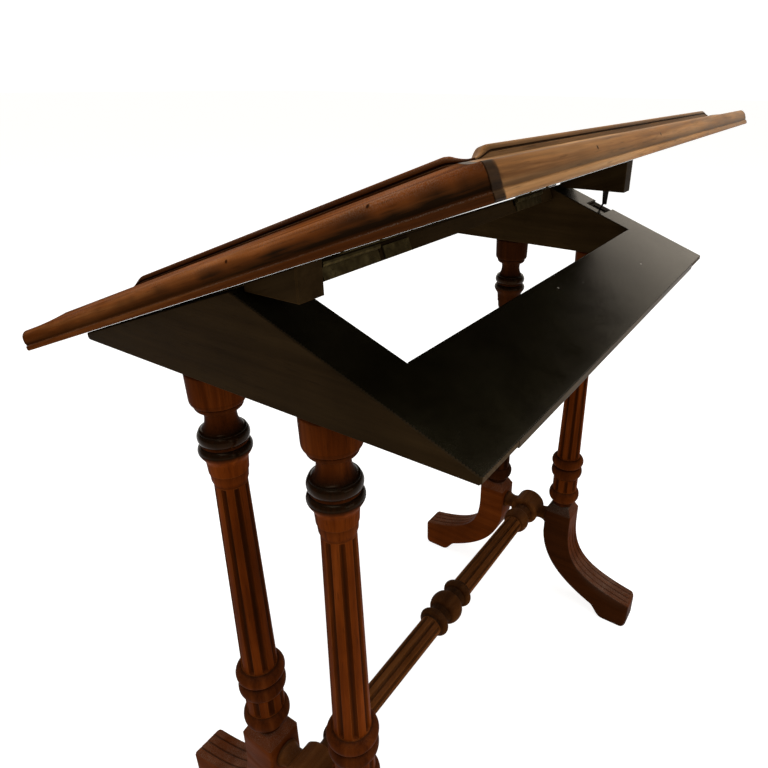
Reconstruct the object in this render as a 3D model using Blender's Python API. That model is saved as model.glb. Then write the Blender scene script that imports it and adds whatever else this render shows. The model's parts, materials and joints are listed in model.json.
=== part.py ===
# Reading stand: two trestle ends joined by a turned stretcher and an open top frame,
# carrying a moulded top that tips on two hinges along the ridge.
# X runs along the ridge (near end +X), -Y is the reader's side, +Z is up, metres.
import math

import bmesh
import bpy
from mathutils import Matrix, Vector

# clearances
GAP = 0.0003             # between pieces that touch in the real stand
REST_GAP = 0.0004        # top above the cheek noses at rest
LEVEL_GAP = 0.0004       # bearers above the back slope when the top is level
END_GAP = 0.0010         # tenon or tongue short of the bottom of its mortise
CUT_OVER = 0.0040        # cutting shapes run on past the faces they open

# end frames
END_X = 0.2615           # centre plane of each end frame
CHEEK_T = 0.047          # cheek thickness
CHEEK_D = 0.378          # cheek depth, reader's side to far side
CHEEK_Z = 0.597          # underside of the cheeks
CHEEK_RISE = 0.0769      # apex above the underside
CHEEK_EASE = 0.0020      # eased bottom corners
NOSE = 0.0058            # blunt edge where a slope meets the underside
COL_Y = 0.0594           # column axes either side of the ridge
TENON_R = 0.010          # column tenons
TENON_TOP = 0.016        # mortise depth in the cheek
TENON_FOOT = 0.022       # mortise depth in the foot block

# boards and ridge rail
BOARD_IN = 0.1075        # upper edge of each board from the ridge
BOARD_T = 0.012
TONGUE = 0.008           # grooves for the boards and mortises for the rail
BOARD_SHOULDER = 0.003   # board tongues are this much smaller all round
RAIL_SHOULDER = 0.0035   # rail tenons likewise
RAIL_W = 0.032
RAIL_T = 0.0148

# feet
FOOT_T = 0.040           # foot thickness along X
FOOT_EASE = 0.0025
BLOCK_W = 0.042          # foot block width along Y
BLOCK_TOP = 0.184        # seat of the column on the canted cap
CAP_H = 0.012            # height of the canted cap
CAP_IN = 0.0063          # and how far it draws in
KNEE_DOWN = 0.036        # upper curve leaves the block this far below its top
ARCH_DOWN = 0.056        # and the under curve this far
TOE_Y = 0.1905           # end of the toe from the ridge
TOE_TOP = 0.0465
TOE_ROUND = 0.0085       # toe end beyond the pad
TOE_DROP = 0.0030        # upper arris of the toe eased by this much
PAD_L = 0.035            # flat pad on the floor
HEEL_L = 0.011           # step from the pad up to the arch
HEEL_Z = 0.0100
ARCH_Z = 0.0225          # lower end of the arch
UNDER_LEAD = (0.004, 0.082)      # curve handles: out from the block, above the floor
UNDER_TRAIL = (0.030, 0.048)
UPPER_LEAD = (0.0, 0.085)
UPPER_TRAIL = (0.025, 0.062)
LEG_STEPS = 6
REED_DEPTH = 0.0016      # three grooves along the upper face of the leg
REED_HALF = 0.0022

# hubs and stretcher
HUB_DOWN = 0.034         # stretcher axis below the top of the foot blocks
DRUM_R = 0.0228
DRUM_L = 0.036
DRUM_EASE = 0.0030
NECK_SINK = 0.0060       # necks start this far inside the drum
NECK_R = 0.0128
WAIST_R = 0.0105
COLLAR_R = 0.0135
COLLAR_L = 0.0030
STUB_R = 0.0080          # hub tenons in the foot blocks
STUB_L = 0.0090
STRETCH_R = 0.0090       # stretcher tenons in the hubs
STRETCH_L = 0.0160
BALL_L = 0.0260          # middle bead of the stretcher
BALL_R = 0.0233

# fluting
FLUTES = 8
FLUTE_DEPTH = 0.0022
FLUTE_MOUTH = 0.34       # share of the pitch that a flute takes at the surface
FLUTE_FLOOR = 0.20       # and at its bottom
LIP = 0.0009             # shoulder at each end of a fluted run
TURN_SEGS = 14
BEAD_CUT = 0.06          # share of a bead's half circle hidden in the quirk at each end
SMALL_TURN = 0.0105      # shorter beads and coves get fewer rings
SAME_SPOT = 0.00002

# top
TOP_OVER = 0.0340        # beyond the outer faces of the cheeks
FRONT_OVER = 0.0341      # beyond the front noses, along the top
BACK_OVER = 0.0199       # beyond the back noses, along the top
MOULD_W = 0.030
MOULD_H = 0.0208         # crown beside the quirk
QUIRK = 0.0016
DISH = 0.0016            # hollow of the upper face between crown and edge
DISH_STEPS = 4
ROUND_H = 0.0165         # top of the rounded edge
ROUND_IN = 0.0042        # size of its rounding, inwards and down
ROUND_DROP = 0.0070
ROUND_STEPS = 3
ROUND_FOOT = 0.0064      # where the edge springs
ROUND_SET = 0.0006       # its setback from the fillet
HOLLOW = 0.0010          # sunk line between edge and fillet
FILLET_H = 0.0044        # square fillet along the bottom edge
EASE = 0.0008            # eased arrises
CORE_T = 0.0188

# lips planted on the top, sweeping down to the corners
LIP_W = 0.0095
LIP_H = 0.0087
LIP_LOW = 0.0045         # height at the corners
LIP_SWEEP = 0.0150       # length of the sweep
SWEEP_STEPS = 4
LIP_ROUND = 0.0032       # rounded arrises
LIP_STEPS = 2
LIP_SIDE = 0.048         # outer faces of the lips in from the edges
LIP_BACK = 0.0305
LIP_FRONT = 0.104

# hinges
AXIS_Y = 0.0036          # hinge axis behind the ridge
AXIS_DROP = 0.0005       # and below it
HINGE_IN = 0.0365        # outer end of a hinge from the cheek
HINGE_L = 0.070
KNUCKLE_R = 0.0030
KNUCKLE_SEGS = 10
PIN_R = 0.0013
PIN_SEGS = 8
PIN_SHORT = 0.0005       # pin ends inside the knuckles
LEAF_T = 0.0014
LEAF_RISE = 0.0008       # moving leaf above the crown of the knuckles
LEAF_LIP = 0.0008        # fixed leaf starts this far below the axis
LEAF_MOVING = 0.022
LEAF_FIXED = 0.0125
LEAF_SCREWS = 0.048      # screw spacing along a leaf
RAIL_SCREW = 0.0088      # screws below the axis on the rail
TOP_SCREW = 0.0145       # screws behind the axis under the top
RECESS_SIDE = 0.0035     # pocket in the rail round the knuckles
RECESS_H = 0.0056
RECESS_D = 0.0035
SCREW_HEAD = 0.0026
SCREW_SHANK = 0.0012
SCREW_TIP = 0.0004
SCREW_L = 0.0075
SCREW_TAPER = 0.0015
HEAD_EDGE = 0.0004
HEAD_H = 0.0016
SCREW_SEGS = 6

# brass plate on the rail beside the near hinge
PLATE_OFF = 0.0075       # from the inner end of the hinge
PLATE_L = 0.038
PLATE_H = 0.0115
PLATE_LIP = 0.0015       # below the hinge axis
PLATE_SCREWS = 0.026

# bearers and catch
BEARER_OUT = 0.0045      # bearer centre outside the end frame's centre
BEARER_T = 0.024
BEARER_START = 0.003     # thin end, along the top from the hinge axis
BEARER_NEAR = 0.048      # the near bearer is the shorter one
BEARER_FAR = 0.082
PAWL_BACK = 0.0245       # pawl from the thick end of the far bearer
PAWL_T = 0.0026
PAWL_IN = 0.005          # pivot above the bearer's underside
PAWL_EYE = 0.0040
PAWL_DROP = 0.018        # strap below the bearer
PAWL_WAIST = 0.0027      # half width of the strap at its lower end
PAWL_TIP = 0.0092        # bent finger below the strap
PAWL_BEND = 0.0066       # and how far it leans to the ridge
FINGER_W = 0.0018
PAWL_EASE = 0.0003
EYE_STEPS = 8
CATCH_R = 0.0015
CATCH_L = 0.0190
MORTISE_SIDE = 0.0009    # free play beside the pawl in the bearer
MORTISE_L = 0.018
MORTISE_UP = 0.0015      # above the pawl's eye
GAIN_L = 0.0245          # gain for the strike plate in the far slope
GAIN_DEPTH = 0.0035
GAIN_IN = 0.0135         # gain runs this far in from the pawl's plane
GAIN_LEAD = 0.0032       # gain centre on the ridge side of the hanging pawl
SLOT_SIDE = 0.0022       # free play beside the pawl in the cheek
SLOT_DOWN = 0.0045       # slot bottom below the finger
STRIKE_T = 0.0015
STRIKE_EDGE = 0.0030     # plate at each end of its opening
SLOT_EDGE = 0.0018       # gain at each end of the slot
STRIKE_IN = 0.0010       # plate short of the cheek's outer face

# derived
HALF_D = CHEEK_D / 2
APEX = CHEEK_Z + CHEEK_RISE
SLOPE = math.atan((CHEEK_RISE - NOSE) / HALF_D)
SIN_S = math.sin(SLOPE)
COS_S = math.cos(SLOPE)
INNER_X = END_X - CHEEK_T / 2
OUTER_X = END_X + CHEEK_T / 2
HUB_Z = BLOCK_TOP - HUB_DOWN
AXIS_Z = APEX - AXIS_DROP
UNDER = KNUCKLE_R + LEAF_RISE + GAP            # underside of the top above the hinge axis
NOSE_RUN = HALF_D + AXIS_Y                     # hinge axis back from the front noses
NOSE_FALL = CHEEK_RISE - AXIS_DROP - NOSE - REST_GAP
TILT = math.atan2(NOSE_FALL, NOSE_RUN) + math.asin(UNDER / math.hypot(NOSE_FALL, NOSE_RUN))
TOP_L = 2 * (OUTER_X + TOP_OVER)
TOP_FRONT = -NOSE_RUN / math.cos(TILT) - FRONT_OVER
TOP_BACK = (HALF_D - AXIS_Y) / math.cos(TILT) + BACK_OVER
HINGE_X = INNER_X - HINGE_IN - HINGE_L / 2
PLATE_X = HINGE_X - HINGE_L / 2 - PLATE_OFF - PLATE_L / 2
FACE_DIST = AXIS_Y * COS_S - AXIS_DROP * SIN_S     # hinge axis behind the rail's back face
BEARER_X = END_X + BEARER_OUT
PAWL_Y = BEARER_FAR - PAWL_BACK

WALNUT = (0.23, 0.085, 0.028)
DARK_WALNUT = (0.075, 0.040, 0.020)
EBONISED = (0.028, 0.024, 0.020)
BRASS = (0.55, 0.40, 0.17)
IRON = (0.16, 0.15, 0.14)

# turned pieces: kind, length, then the radii at the ends, or at the ends and the middle
COLUMN_HEAD = [
    ("line", 0.0020, 0.0215, 0.0227),      # eased top edge
    ("line", 0.0270, 0.0227, 0.0215),      # plain drum under the cheek
    ("line", 0.0060, 0.0212, 0.0165),      # chamfer
    ("bead", 0.0040, 0.0143, 0.0154),      # small ring
    ("cove", 0.0160, 0.0142, 0.0121),      # neck
    ("bead", 0.0125, 0.0150, 0.0202),      # upper torus
    ("line", 0.0028, 0.0189, 0.0190),      # fillet
    ("bead", 0.0165, 0.0165, 0.0216),      # lower torus
    ("line", 0.0210, 0.0169, 0.0153),      # tapered cup
    ("line", 0.0040, 0.0153, 0.0139),      # cup rim
]
COLUMN_BASE = [
    ("bead", 0.0260, 0.0168, 0.0241),
    ("bead", 0.0220, 0.0170, 0.0234),
    ("flutes", 0.0230, 0.0190, 0.0190),    # short fluted drum
    ("bead", 0.0220, 0.0168, 0.0233),
    ("cove", 0.0080, 0.0152, 0.0130),
]
SHAFT_TOP = 0.0139
SHAFT_FOOT = 0.0172
STRETCHER_INNER = [
    ("cove", 0.0100, 0.0152, 0.0130),
    ("bead", 0.0160, 0.0150, 0.0196),
]
STRETCHER_OUTER = [
    ("bead", 0.0220, 0.0140, 0.0210),
    ("cove", 0.0140, 0.0140, 0.0132),
]
STRETCHER_SHAFT = (0.0145, 0.0137)
BALL_NECK = 0.0150

for old in list(bpy.data.objects):
    bpy.data.objects.remove(old, do_unlink=True)


def empty(name, place, turn=0.0, parent=None):
    obj = bpy.data.objects.new(name, None)
    obj.location = place
    obj.rotation_euler = (turn, 0.0, 0.0)
    obj.parent = parent
    bpy.context.scene.collection.objects.link(obj)
    return obj


def material(name, rgb, rough, metallic=0.0):
    mat = bpy.data.materials.new(name)
    mat.use_nodes = True
    shader = mat.node_tree.nodes["Principled BSDF"]
    shader.inputs["Base Color"].default_value = (*rgb, 1.0)
    shader.inputs["Roughness"].default_value = rough
    shader.inputs["Metallic"].default_value = metallic
    return mat


def turns(ring):
    # angle of each point of a turned ring as a share of a turn, closed at the end
    shares = [math.atan2(point[1], point[0]) / math.tau % 1.0 for point in ring]
    start = shares[0]
    first = start if start < 0.5 else start - 1.0
    return [(share - start) % 1.0 + first for share in shares] + [first + 1.0]


def bridge(first, second, turns_a, turns_b):
    # triangles between two turned rings with different numbers of points
    count_a = len(first)
    count_b = len(second)
    faces = []
    i = 0
    j = 0
    while i < count_a or j < count_b:
        here_a = first[i % count_a]
        here_b = second[j % count_b]
        if j == count_b or (i < count_a and turns_a[i + 1] <= turns_b[j + 1]):
            i += 1
            faces.append((here_a, first[i % count_a], here_b))
        else:
            j += 1
            faces.append((here_a, second[j % count_b], here_b))
    return faces


def loft(rings):
    verts = []
    faces = []
    index = []
    for ring in rings:
        index.append(list(range(len(verts), len(verts) + len(ring))))
        verts.extend(Vector(p) for p in ring)
    for k in range(len(rings) - 1):
        low = index[k]
        high = index[k + 1]
        if len(low) == len(high):
            for i in range(len(low)):
                faces.append((low[i - 1], low[i], high[i], high[i - 1]))
        else:
            faces.extend(bridge(low, high, turns(rings[k]), turns(rings[k + 1])))
    faces.append(tuple(reversed(index[0])))
    faces.append(tuple(index[-1]))
    return verts, faces


def merged(*solids):
    verts = []
    faces = []
    for part_verts, part_faces in solids:
        base = len(verts)
        verts.extend(part_verts)
        faces.extend(tuple(base + i for i in face) for face in part_faces)
    return verts, faces


def placed(solid, matrix):
    return [matrix @ v for v in solid[0]], solid[1]


def make(name, solid, mat, parent, smooth=None):
    mesh = bpy.data.meshes.new(name)
    bm = bmesh.new()
    verts = [bm.verts.new(v) for v in solid[0]]
    for face in solid[1]:
        bm.faces.new([verts[i] for i in face])
    bmesh.ops.recalc_face_normals(bm, faces=bm.faces)
    if smooth is not None:
        for face in bm.faces:
            face.smooth = True
        for edge in bm.edges:
            edge.smooth = edge.calc_face_angle(0.0) < smooth
    bm.to_mesh(mesh)
    bm.free()
    obj = bpy.data.objects.new(name, mesh)
    bpy.context.scene.collection.objects.link(obj)
    if mat is not None:
        mesh.materials.append(mat)
    obj.parent = parent
    return obj


def wood(name, solid, rgb, rough, parent=None, smooth=None):
    return make(name, solid, material(name + "_wood", rgb, rough), parent or stand, smooth)


def metal(name, solid, rgb, rough, parent=None, smooth=0.7):
    return make(name, solid, material(name + "_metal", rgb, rough, 1.0), parent or stand, smooth)


def boolean(obj, solid, operation="DIFFERENCE"):
    tool = make(obj.name + "_tool_" + str(len(obj.modifiers)), solid, None, obj.parent)
    tool.hide_render = True
    tool.display_type = "WIRE"
    mod = obj.modifiers.new("joinery", "BOOLEAN")
    mod.object = tool
    mod.operation = operation
    mod.solver = "EXACT"


def inset(outline, dist):
    # outline moved inwards by dist; points run anticlockwise
    count = len(outline)
    out = []
    for i in range(count):
        here = Vector(outline[i])
        back = (here - Vector(outline[i - 1])).normalized()
        ahead = (Vector(outline[(i + 1) % count]) - here).normalized()
        square = Vector((-back.y, back.x))
        side = (square + Vector((-ahead.y, ahead.x))).normalized()
        out.append(tuple(here + side * dist / side.dot(square)))
    return out


def across(outline, x):
    return [(x, y, z) for y, z in outline]


def prism(outline, x0, x1, ease=0.0):
    if ease == 0.0:
        return loft([across(outline, x0), across(outline, x1)])
    small = inset(outline, ease)
    rings = [across(small, x0), across(outline, x0 + ease)]
    rings += [across(outline, x1 - ease), across(small, x1)]
    return loft(rings)


def box(x0, x1, y0, y1, z0, z1):
    return prism([(y0, z0), (y1, z0), (y1, z1), (y0, z1)], x0, x1)


def circle(radius, height, segs=TURN_SEGS):
    ring = []
    for i in range(segs):
        angle = math.tau * i / segs
        ring.append((radius * math.cos(angle), radius * math.sin(angle), height))
    return ring


def fluted(radius, height):
    pitch = math.tau / FLUTES
    mouth = FLUTE_MOUTH / 2
    floor = FLUTE_FLOOR / 2
    ring = []
    land = [(0.0, 0.0), (0.5 - mouth, 0.0)]
    groove = [(0.5 - floor, 1.0), (0.5 + floor, 1.0), (0.5 + mouth, 0.0)]
    for k in range(FLUTES):
        for share, cut in land + groove:
            angle = pitch * (k + share)
            r = radius - FLUTE_DEPTH * cut
            ring.append((r * math.cos(angle), r * math.sin(angle), height))
    return ring


def rod(radius, z0, z1, segs=TURN_SEGS):
    return loft([circle(radius, z0, segs), circle(radius, z1, segs)])


def turning(elements):
    # solid of a turned piece along +Z from zero, its elements laid end to end
    spots = []
    z = 0.0
    for kind, length, r0, r1 in elements:
        steps = 4 if length > SMALL_TURN else 2
        if kind == "line":
            spots += [(z, r0, False), (z + length, r1, False)]
        elif kind == "bead":
            for k in range(steps + 1):
                a = math.pi * (BEAD_CUT + (1 - 2 * BEAD_CUT) * k / steps)
                spots.append((z + length * (1 - math.cos(a)) / 2, r0 + (r1 - r0) * math.sin(a), False))
        elif kind == "cove":
            for k in range(steps + 1):
                spots.append((z + length * k / steps, r0 + (r1 - r0) * math.sin(math.pi * k / steps), False))
        elif kind == "flutes":
            spots.append((z, r0, False))
            for at in (LIP, length - LIP):
                spots.append((z + at, r0 + (r1 - r0) * at / length, True))
            spots.append((z + length, r1, False))
        z += length
    rings = []
    last = (-1.0, 0.0)
    for height, radius, cut in spots:
        if abs(height - last[0]) + abs(radius - last[1]) > SAME_SPOT:
            rings.append(fluted(radius, height) if cut else circle(radius, height))
        last = (height, radius)
    return loft(rings)


def length_of(elements):
    return sum(element[1] for element in elements)


def column(name, x, y):
    span = CHEEK_Z - BLOCK_TOP - 2 * GAP
    shaft = span - length_of(COLUMN_HEAD) - length_of(COLUMN_BASE)
    upper = TENON_TOP - END_GAP
    elements = [("line", upper, TENON_R, TENON_R)] + COLUMN_HEAD
    elements += [("flutes", shaft, SHAFT_TOP, SHAFT_FOOT)] + COLUMN_BASE
    elements += [("line", TENON_FOOT - END_GAP, TENON_R, TENON_R)]
    start = Matrix.Translation((x, y, CHEEK_Z - GAP + upper))
    solid = placed(turning(elements), start @ Matrix.Rotation(math.pi, 4, "X"))
    return wood(name, solid, WALNUT, 0.35, smooth=0.6)


def stretcher():
    shoulder = END_X - DRUM_L / 2 - GAP
    shaft = shoulder - BALL_L / 2 - length_of(STRETCHER_INNER) - length_of(STRETCHER_OUTER)
    thick, thin = STRETCHER_SHAFT
    tenon = [("line", STRETCH_L - END_GAP, STRETCH_R, STRETCH_R)]
    elements = tenon + STRETCHER_OUTER[::-1] + [("flutes", shaft, thin, thick)] + STRETCHER_INNER[::-1]
    elements += [("bead", BALL_L, BALL_NECK, BALL_R)]
    elements += STRETCHER_INNER + [("flutes", shaft, thick, thin)] + STRETCHER_OUTER + tenon
    start = Matrix.Translation((-length_of(elements) / 2, 0.0, HUB_Z))
    solid = placed(turning(elements), start @ Matrix.Rotation(math.pi / 2, 4, "Y"))
    return wood("stretcher", solid, WALNUT, 0.36, smooth=0.6)


def hub(name, x, inward):
    # drum on the stretcher's axis with a turned cross piece between the two foot blocks
    half = DRUM_L / 2
    drum = [circle(DRUM_R - DRUM_EASE, -half), circle(DRUM_R, -half + DRUM_EASE)]
    drum += [circle(DRUM_R, half - DRUM_EASE), circle(DRUM_R - DRUM_EASE, half)]
    along_x = Matrix.Translation((x, 0.0, HUB_Z)) @ Matrix.Rotation(math.pi / 2, 4, "Y")
    obj = wood(name, placed(loft(drum), along_x), WALNUT, 0.36, smooth=0.6)
    face = COL_Y - BLOCK_W / 2 - GAP
    root = DRUM_R - NECK_SINK
    arm = [("cove", face - root - COLLAR_L, NECK_R, WAIST_R), ("line", COLLAR_L, COLLAR_R, COLLAR_R)]
    arm += [("line", STUB_L - END_GAP, STUB_R, STUB_R)]
    elements = arm[::-1] + [("line", 2 * root, NECK_R, NECK_R)] + arm
    along_y = Matrix.Translation((x, length_of(elements) / 2, HUB_Z)) @ Matrix.Rotation(math.pi / 2, 4, "X")
    boolean(obj, placed(turning(elements), along_y), "UNION")
    bore = rod(STRETCH_R + GAP, 0.0, STRETCH_L + CUT_OVER)
    seat = Matrix.Translation((x + inward * (half - STRETCH_L), 0.0, HUB_Z))
    boolean(obj, placed(bore, seat @ Matrix.Rotation(math.pi / 2 * inward, 4, "Y")))
    return obj


def bezier(points, t):
    start, lead, trail, finish = (Vector(p) for p in points)
    u = 1 - t
    return start * u ** 3 + lead * (3 * u * u * t) + trail * (3 * u * t * t) + finish * t ** 3


def foot_stations():
    # under and upper outline of the swept leg as pairs, from the block down to the toe
    inner = COL_Y - BLOCK_W / 2
    outer = COL_Y + BLOCK_W / 2
    base = BLOCK_TOP - CAP_H
    pad_end = TOE_Y - TOE_ROUND
    pad_start = pad_end - PAD_L
    arch_end = pad_start - HEEL_L
    lower = [(inner, BLOCK_TOP - ARCH_DOWN), (inner + UNDER_LEAD[0], UNDER_LEAD[1])]
    lower += [(inner + UNDER_TRAIL[0], UNDER_TRAIL[1]), (arch_end, ARCH_Z)]
    upper = [(outer, BLOCK_TOP - KNEE_DOWN), (outer + UPPER_LEAD[0], UPPER_LEAD[1])]
    upper += [(outer + UPPER_TRAIL[0], UPPER_TRAIL[1]), (TOE_Y - TOE_DROP, TOE_TOP)]
    above_arch, above_heel, above_pad = 0.78, 0.83, 0.88     # shares of the upper curve
    pairs = [((inner, base), (outer, base))]
    for k in range(LEG_STEPS + 1):
        pairs.append((bezier(lower, k / LEG_STEPS), bezier(upper, above_arch * k / LEG_STEPS)))
    pairs.append(((arch_end + HEEL_L / 3, HEEL_Z), bezier(upper, above_heel)))
    pairs.append(((pad_start, 0.0), bezier(upper, above_pad)))
    pairs.append(((pad_end, 0.0), bezier(upper, 1.0)))
    pairs.append(((TOE_Y, TOE_ROUND), (TOE_Y, TOE_TOP - TOE_DROP)))
    return [(Vector(under), Vector(over)) for under, over in pairs]


def foot_section(under, over, depth):
    # eased rectangle across the leg, with the reed grooves on its upper side
    half = FOOT_T / 2
    side = half - FOOT_EASE
    down = (under - over).normalized()
    section = [(-side, under), (side, under), (half, under - down * FOOT_EASE)]
    section += [(half, over + down * FOOT_EASE), (side, over)]
    for mid in (half / 2, 0.0, -half / 2):
        section += [(mid + REED_HALF, over), (mid, over + down * depth), (mid - REED_HALF, over)]
    section += [(-side, over), (-half, over + down * FOOT_EASE), (-half, under - down * FOOT_EASE)]
    return section


def foot(name, x, side):
    stations = foot_stations()
    rings = []
    for k, (under, over) in enumerate(stations):
        depth = REED_DEPTH if 1 < k < len(stations) - 1 else 0.0
        rings.append([(x + dx, side * p.x, p.y) for dx, p in foot_section(under, over, depth)])
    mid_y = side * COL_Y
    keep_x = 1 - 2 * CAP_IN / FOOT_T
    keep_y = 1 - 2 * CAP_IN / BLOCK_W
    cap = [(x + (px - x) * keep_x, mid_y + (py - mid_y) * keep_y, BLOCK_TOP) for px, py, pz in rings[0]]
    obj = wood(name, loft([cap] + rings), WALNUT, 0.36, smooth=0.6)
    bore = rod(TENON_R + GAP, BLOCK_TOP - TENON_FOOT, BLOCK_TOP + CUT_OVER)
    boolean(obj, placed(bore, Matrix.Translation((x, mid_y, 0.0))))
    socket = rod(STUB_R + GAP, -CUT_OVER, STUB_L)
    face = Matrix.Translation((x, side * (COL_Y - BLOCK_W / 2), HUB_Z))
    boolean(obj, placed(socket, face @ Matrix.Rotation(-side * math.pi / 2, 4, "X")))
    return obj


def slope_z(y):
    return APEX - abs(y) * math.tan(SLOPE)


def board_outline(side):
    low = BOARD_IN - BOARD_T * SIN_S
    under = slope_z(BOARD_IN) - BOARD_T * COS_S
    run = (under - CHEEK_Z) / math.tan(SLOPE)
    points = [(HALF_D, CHEEK_Z), (HALF_D, CHEEK_Z + NOSE), (BOARD_IN, slope_z(BOARD_IN))]
    points += [(low, under), (low + run, CHEEK_Z)]
    if side < 0:
        points = [(-y, z) for y, z in reversed(points)]
    return points


def rail_outline():
    along = Vector((-COS_S, -SIN_S))
    down = Vector((SIN_S, -COS_S))
    ridge = Vector((0.0, APEX))
    points = [ridge, ridge + along * RAIL_W]
    points += [ridge + along * RAIL_W + down * RAIL_T, ridge + down * RAIL_T]
    return [tuple(p) for p in points]


def tongued(outline, shoulder):
    # bar between the cheeks with a smaller tongue at each end
    small = inset(outline, shoulder)
    reach = INNER_X - GAP
    end = INNER_X + TONGUE - END_GAP
    rings = [across(small, -end), across(small, -reach), across(outline, -reach)]
    rings += [across(outline, reach), across(small, reach), across(small, end)]
    return loft(rings)


def cheek(name, side):
    e = CHEEK_EASE
    outline = [(-HALF_D + e, CHEEK_Z), (HALF_D - e, CHEEK_Z), (HALF_D, CHEEK_Z + e)]
    outline += [(HALF_D, CHEEK_Z + NOSE), (0.0, APEX), (-HALF_D, CHEEK_Z + NOSE), (-HALF_D, CHEEK_Z + e)]
    mid = side * END_X
    obj = wood(name, prism(outline, mid - CHEEK_T / 2, mid + CHEEK_T / 2, EASE), DARK_WALNUT, 0.40)
    cuts = []
    for y in (-COL_Y, COL_Y):
        bore = rod(TENON_R + GAP, CHEEK_Z - CUT_OVER, CHEEK_Z + TENON_TOP)
        cuts.append(placed(bore, Matrix.Translation((mid, y, 0.0))))
    reach = sorted((side * (INNER_X - CUT_OVER), side * (INNER_X + TONGUE)))
    for lie in (-1, 1):
        cuts.append(prism(inset(board_outline(lie), BOARD_SHOULDER - GAP), *reach))
    cuts.append(prism(inset(rail_outline(), RAIL_SHOULDER - GAP), *reach))
    boolean(obj, merged(*cuts))
    return obj


def slope_box(y0, y1, depth0, depth1, x0, x1):
    # block square to the back slope, between two depths below it
    outline = []
    for y, depth in ((y0, depth1), (y1, depth1), (y1, depth0), (y0, depth0)):
        outline.append((y - depth * SIN_S, slope_z(y) - depth * COS_S))
    return prism(outline, x0, x1)


def moulding_profile():
    # distance in from the edge and height above the underside: quirk, dished face, round edge, fillet
    crown = Vector((MOULD_W - QUIRK, MOULD_H))
    brow = Vector((ROUND_SET + ROUND_IN, ROUND_H))
    sag = (crown + brow) / 2 - Vector((0.0, DISH))
    points = [(EASE, 0.0), (MOULD_W, 0.0), (MOULD_W, MOULD_H - QUIRK)]
    for k in range(DISH_STEPS + 1):
        u = k / DISH_STEPS
        points.append(tuple(crown * (1 - u) ** 2 + sag * (2 * u * (1 - u)) + brow * u * u))
    for k in range(1, ROUND_STEPS + 1):
        a = math.pi / 2 * k / ROUND_STEPS
        points.append((brow.x - ROUND_IN * math.sin(a), ROUND_H - ROUND_DROP * (1 - math.cos(a))))
    sunk = ROUND_SET + HOLLOW
    points += [(ROUND_SET, ROUND_FOOT), (sunk, ROUND_FOOT - EASE), (sunk, FILLET_H + EASE / 2)]
    points += [(EASE, FILLET_H), (0.0, FILLET_H - EASE), (0.0, EASE)]
    return points


def moulding(name, start, finish):
    begin = Vector(start)
    stop = Vector(finish)
    along = (stop - begin).normalized()
    inward = Vector((-along.y, along.x))
    rings = []
    for origin, sign in ((begin, 1.0), (stop, -1.0)):
        ring = []
        for t, h in moulding_profile():
            p = origin + inward * t + along * sign * (t + GAP / 2)
            ring.append((p.x, p.y, UNDER + h))
        rings.append(ring)
    return wood(name, loft(rings), WALNUT, 0.32, tilt_axis, smooth=0.5)


def lip_profile(height):
    # distance in from the outer face and height above the core
    points = [(0.0, 0.0), (LIP_W, 0.0)]
    for centre, first in ((LIP_W - LIP_ROUND, 0), (LIP_ROUND, LIP_STEPS)):
        for k in range(LIP_STEPS + 1):
            a = math.pi / 2 * (first + k) / LIP_STEPS
            points.append((centre + LIP_ROUND * math.cos(a), height - LIP_ROUND + LIP_ROUND * math.sin(a)))
    return points


def lip(name, start, finish):
    # mitred at the corners, the rings turning square along the sweep
    along = (finish - start).normalized()
    inward = Vector((-along.y, along.x))
    rings = []
    for origin, sign in ((start, 1.0), (finish, -1.0)):
        sweep = []
        for k in range(SWEEP_STEPS + 1):
            a = math.pi / 2 * k / SWEEP_STEPS
            ring = []
            for t, h in lip_profile(LIP_LOW + (LIP_H - LIP_LOW) * math.sin(a)):
                reach = LIP_SWEEP * (1 - math.cos(a)) + t * math.cos(a) + GAP / 2
                p = origin + inward * t + along * sign * reach
                ring.append((p.x, p.y, UNDER + CORE_T + GAP + h))
            sweep.append(ring)
        rings += sweep if sign > 0 else sweep[::-1]
    return wood(name, loft(rings), WALNUT, 0.30, tilt_axis, smooth=0.8)


def bearer_line(y):
    # underside of a bearer in the top's own frame, parallel to the back slope when level
    return AXIS_DROP - (y + AXIS_Y) * math.tan(SLOPE) + LEVEL_GAP / COS_S


def bearer(name, x, finish):
    seat = UNDER - GAP
    outline = []
    for y in (BEARER_START, finish):
        outline.append((y, bearer_line(y)))
    for y, low in reversed(outline[:2]):
        outline.append((y + (seat - low) * math.tan(SLOPE), seat))
    return wood(name, prism(outline, x - BEARER_T / 2, x + BEARER_T / 2, EASE), DARK_WALNUT, 0.45, tilt_axis)


def screw_solid(grow=0.0):
    # countersunk screw, head at z=0 and point down; grow gives the hole that it needs
    mouth = CUT_OVER if grow else 0.0
    rings = [circle(SCREW_TIP + grow, -SCREW_L - grow, SCREW_SEGS)]
    rings += [circle(SCREW_SHANK + grow, -SCREW_L + SCREW_TAPER - grow, SCREW_SEGS)]
    rings += [circle(SCREW_SHANK + grow, -HEAD_H, SCREW_SEGS)]
    rings += [circle(SCREW_HEAD + grow, -HEAD_EDGE, SCREW_SEGS)]
    rings += [circle(SCREW_HEAD + grow, mouth, SCREW_SEGS)]
    return loft(rings)


def screwed(name, places, parent=None):
    # numbered brass screws at the places, and one solid of all their holes
    for k, place in enumerate(places):
        metal(name + str(k + 1), placed(screw_solid(), place), BRASS, 0.35, parent)
    return merged(*(placed(screw_solid(GAP), place) for place in places))


def on_rail(x, down):
    # on the outer side of a plate fixed to the rail, local z pointing away from it
    spot = Matrix.Translation((x, -FACE_DIST + GAP + LEAF_T, -down))
    return rail_frame @ spot @ Matrix.Rotation(-math.pi / 2, 4, "X")


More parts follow.
